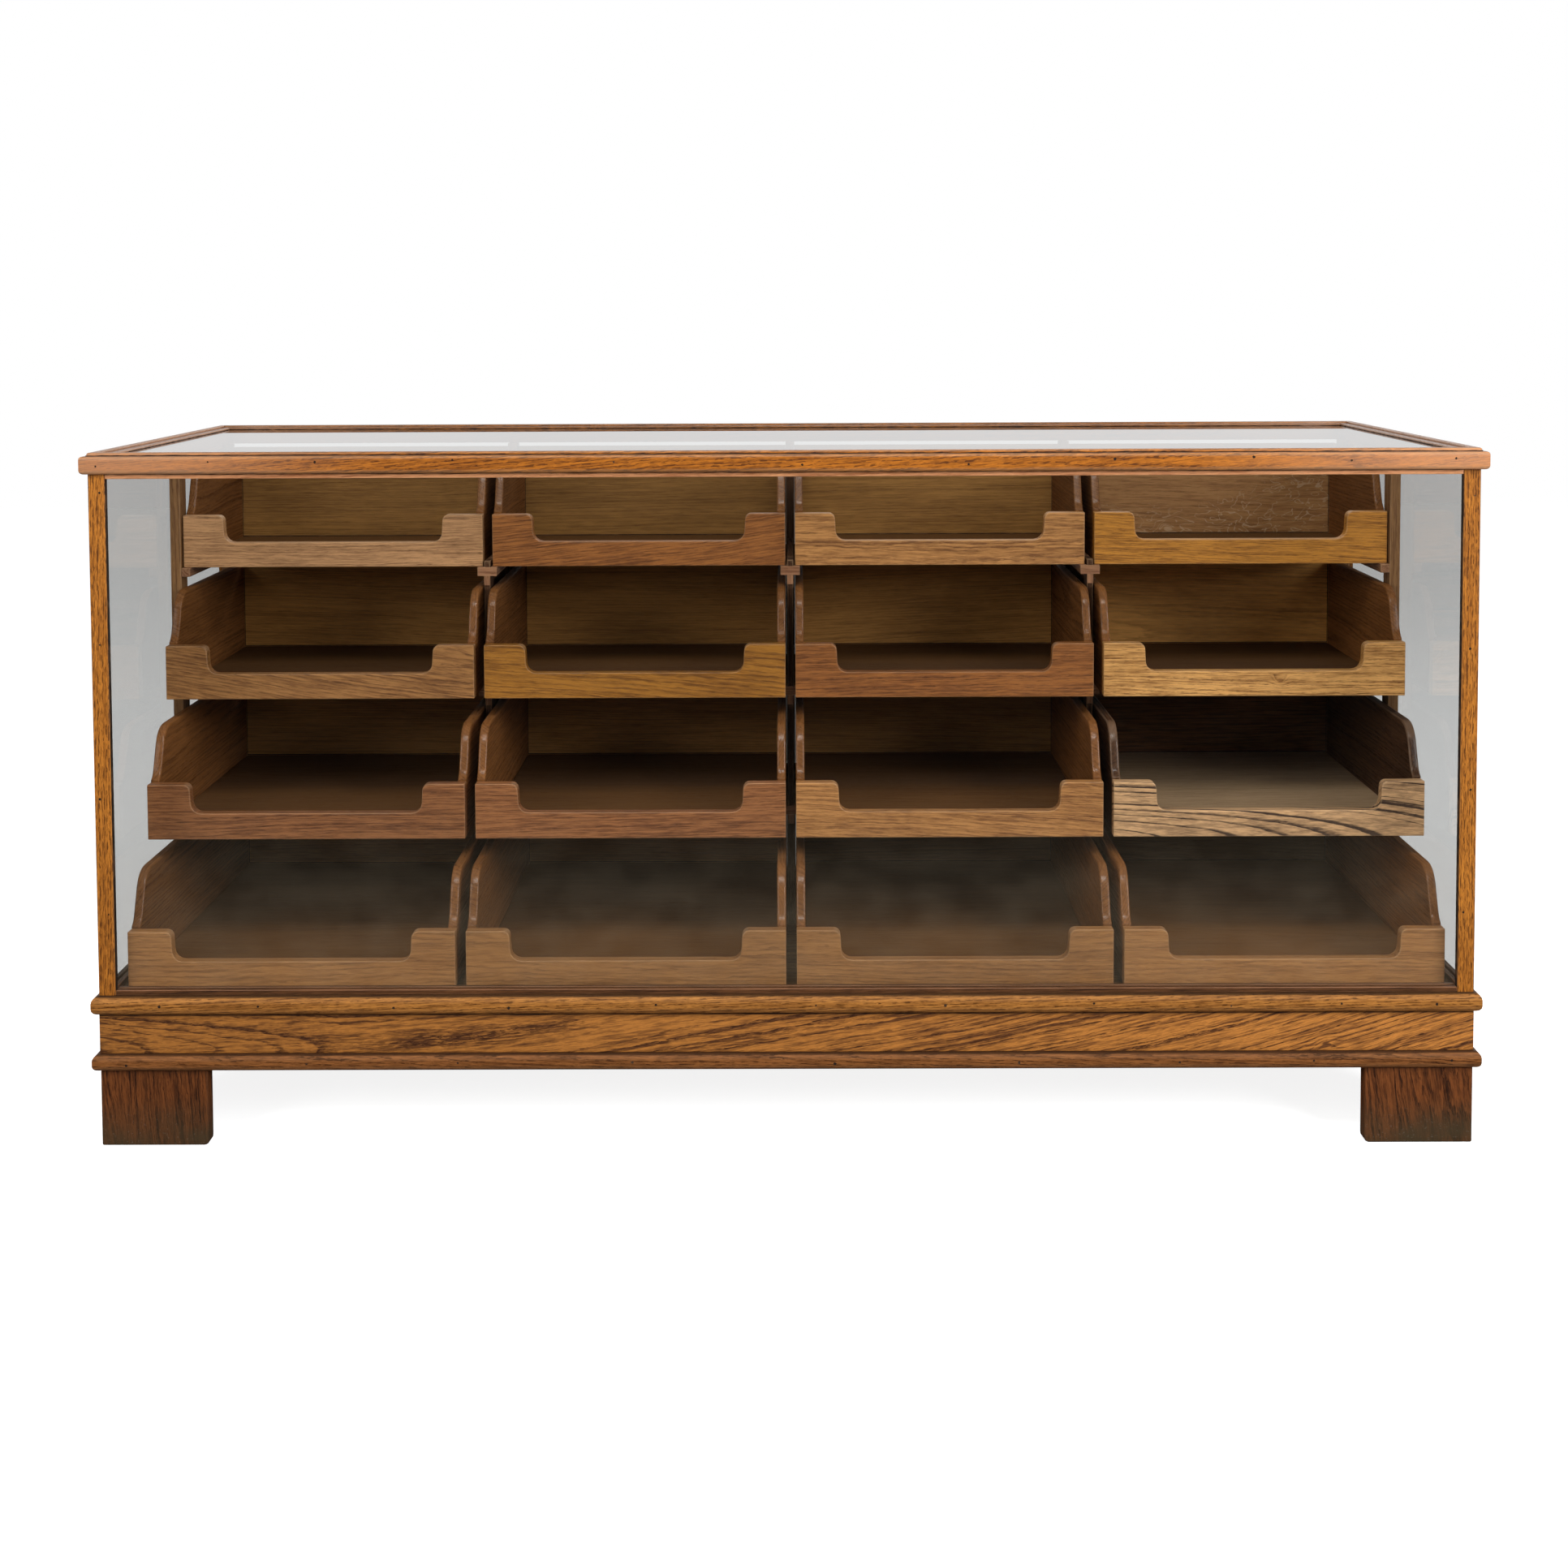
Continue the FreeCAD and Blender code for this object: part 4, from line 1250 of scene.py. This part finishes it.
for row in range(1, drawers["rows"] + 1):
    for column, (left, right) in enumerate(columnEdges(), 1):
        makeDrawer(row, column, left, right)
        makePull(row, column, left, right)
print("drawers built")


# floor, sky and softboxes

studio = {
    "floorSize": 16.0, "floorColour": (0.90, 0.90, 0.90), "floorBounce": (0.30, 0.30, 0.30),
    "floorGlow": 0.86,
    "sky": {"seen": 1.0, "behind": 1.0, "infront": 0.25, "spread": 0.16},
    "softboxes": (            # place, aim, width, height, watts, colour
        ((-2.4, -2.5, 1.85), (-0.2, -0.2, 0.5), 1.4, 1.3, 38, (1.0, 0.985, 0.96)),
        ((2.5, -2.4, 1.8), (0.2, -0.2, 0.5), 1.4, 1.2, 64, (0.985, 0.99, 1.0)),
        ((0.0, -2.0, 2.9), (0.0, -0.1, 0.6), 2.2, 0.8, 48, (1.0, 1.0, 1.0)),
        ((0.6, 3.0, 2.9), (0.0, 0.3, 0.5), 2.4, 0.8, 34, (1.0, 1.0, 1.0)),
    ),
}


def makeFloor():
    size = studio["floorSize"] / 2
    mesh = bpy.data.meshes.new("studio_floor")
    mesh.from_pydata([(-size, -size, 0), (size, -size, 0), (size, size, 0), (-size, size, 0)], [],
                     [(0, 1, 2, 3)])
    tree, surface = newMaterial("studio_floor")
    seen = addNode(tree, "LightPath").outputs["Is Camera Ray"]
    colour = blend(seen, studio["floorBounce"], studio["floorColour"])
    paint = addNode(tree, "BsdfDiffuse", {"Color": colour})
    glow = addNode(tree, "Emission", {"Strength": times(seen, studio["floorGlow"])})
    feed(joined("AddShader", (paint.outputs[0], glow.outputs[0]))[0], surface)
    mesh.materials.append(bpy.data.materials["studio_floor"])
    newObject("studio_floor", mesh)


def makeSky():
    # white to look at; gloss mirrors a bright wall behind the counter and a dim room before it
    world = bpy.data.worlds.new("studio")
    world.use_nodes = True
    bpy.context.scene.world = world
    tree = world.node_tree
    ray = addNode(tree, "LightPath").outputs
    look = studio["sky"]
    depth = parts(addNode(tree, "TexCoord").outputs["Generated"])["Y"]
    mirrored = fade(depth, -0.1, 0.5, look["infront"], look["behind"])
    mirrored = minus(mirrored, look["spread"])
    strength = timesPlus(ray["Is Camera Ray"], look["seen"] - look["spread"], look["spread"])
    strength = timesPlus(ray["Is Glossy Ray"], mirrored, strength)
    feed(strength, tree.nodes["Background"].inputs["Strength"])
    feed((1, 1, 1), tree.nodes["Background"].inputs["Color"])


def makeLights():
    for number, (place, aim, width, height, watts, colour) in enumerate(studio["softboxes"], 1):
        light = bpy.data.lights.new("softbox_%d" % number, "AREA")
        light.shape = "RECTANGLE"
        light.size, light.size_y = width, height
        light.energy = watts
        light.color = colour
        lamp = newObject("softbox_%d" % number, light)
        lamp.location = place
        lamp.rotation_euler = (Vector(aim) - Vector(place)).to_track_quat("-Z", "Y").to_euler()


makeFloor()
makeSky()
makeLights()
bpy.context.scene.view_settings.view_transform = "Standard"
print("studio ready")
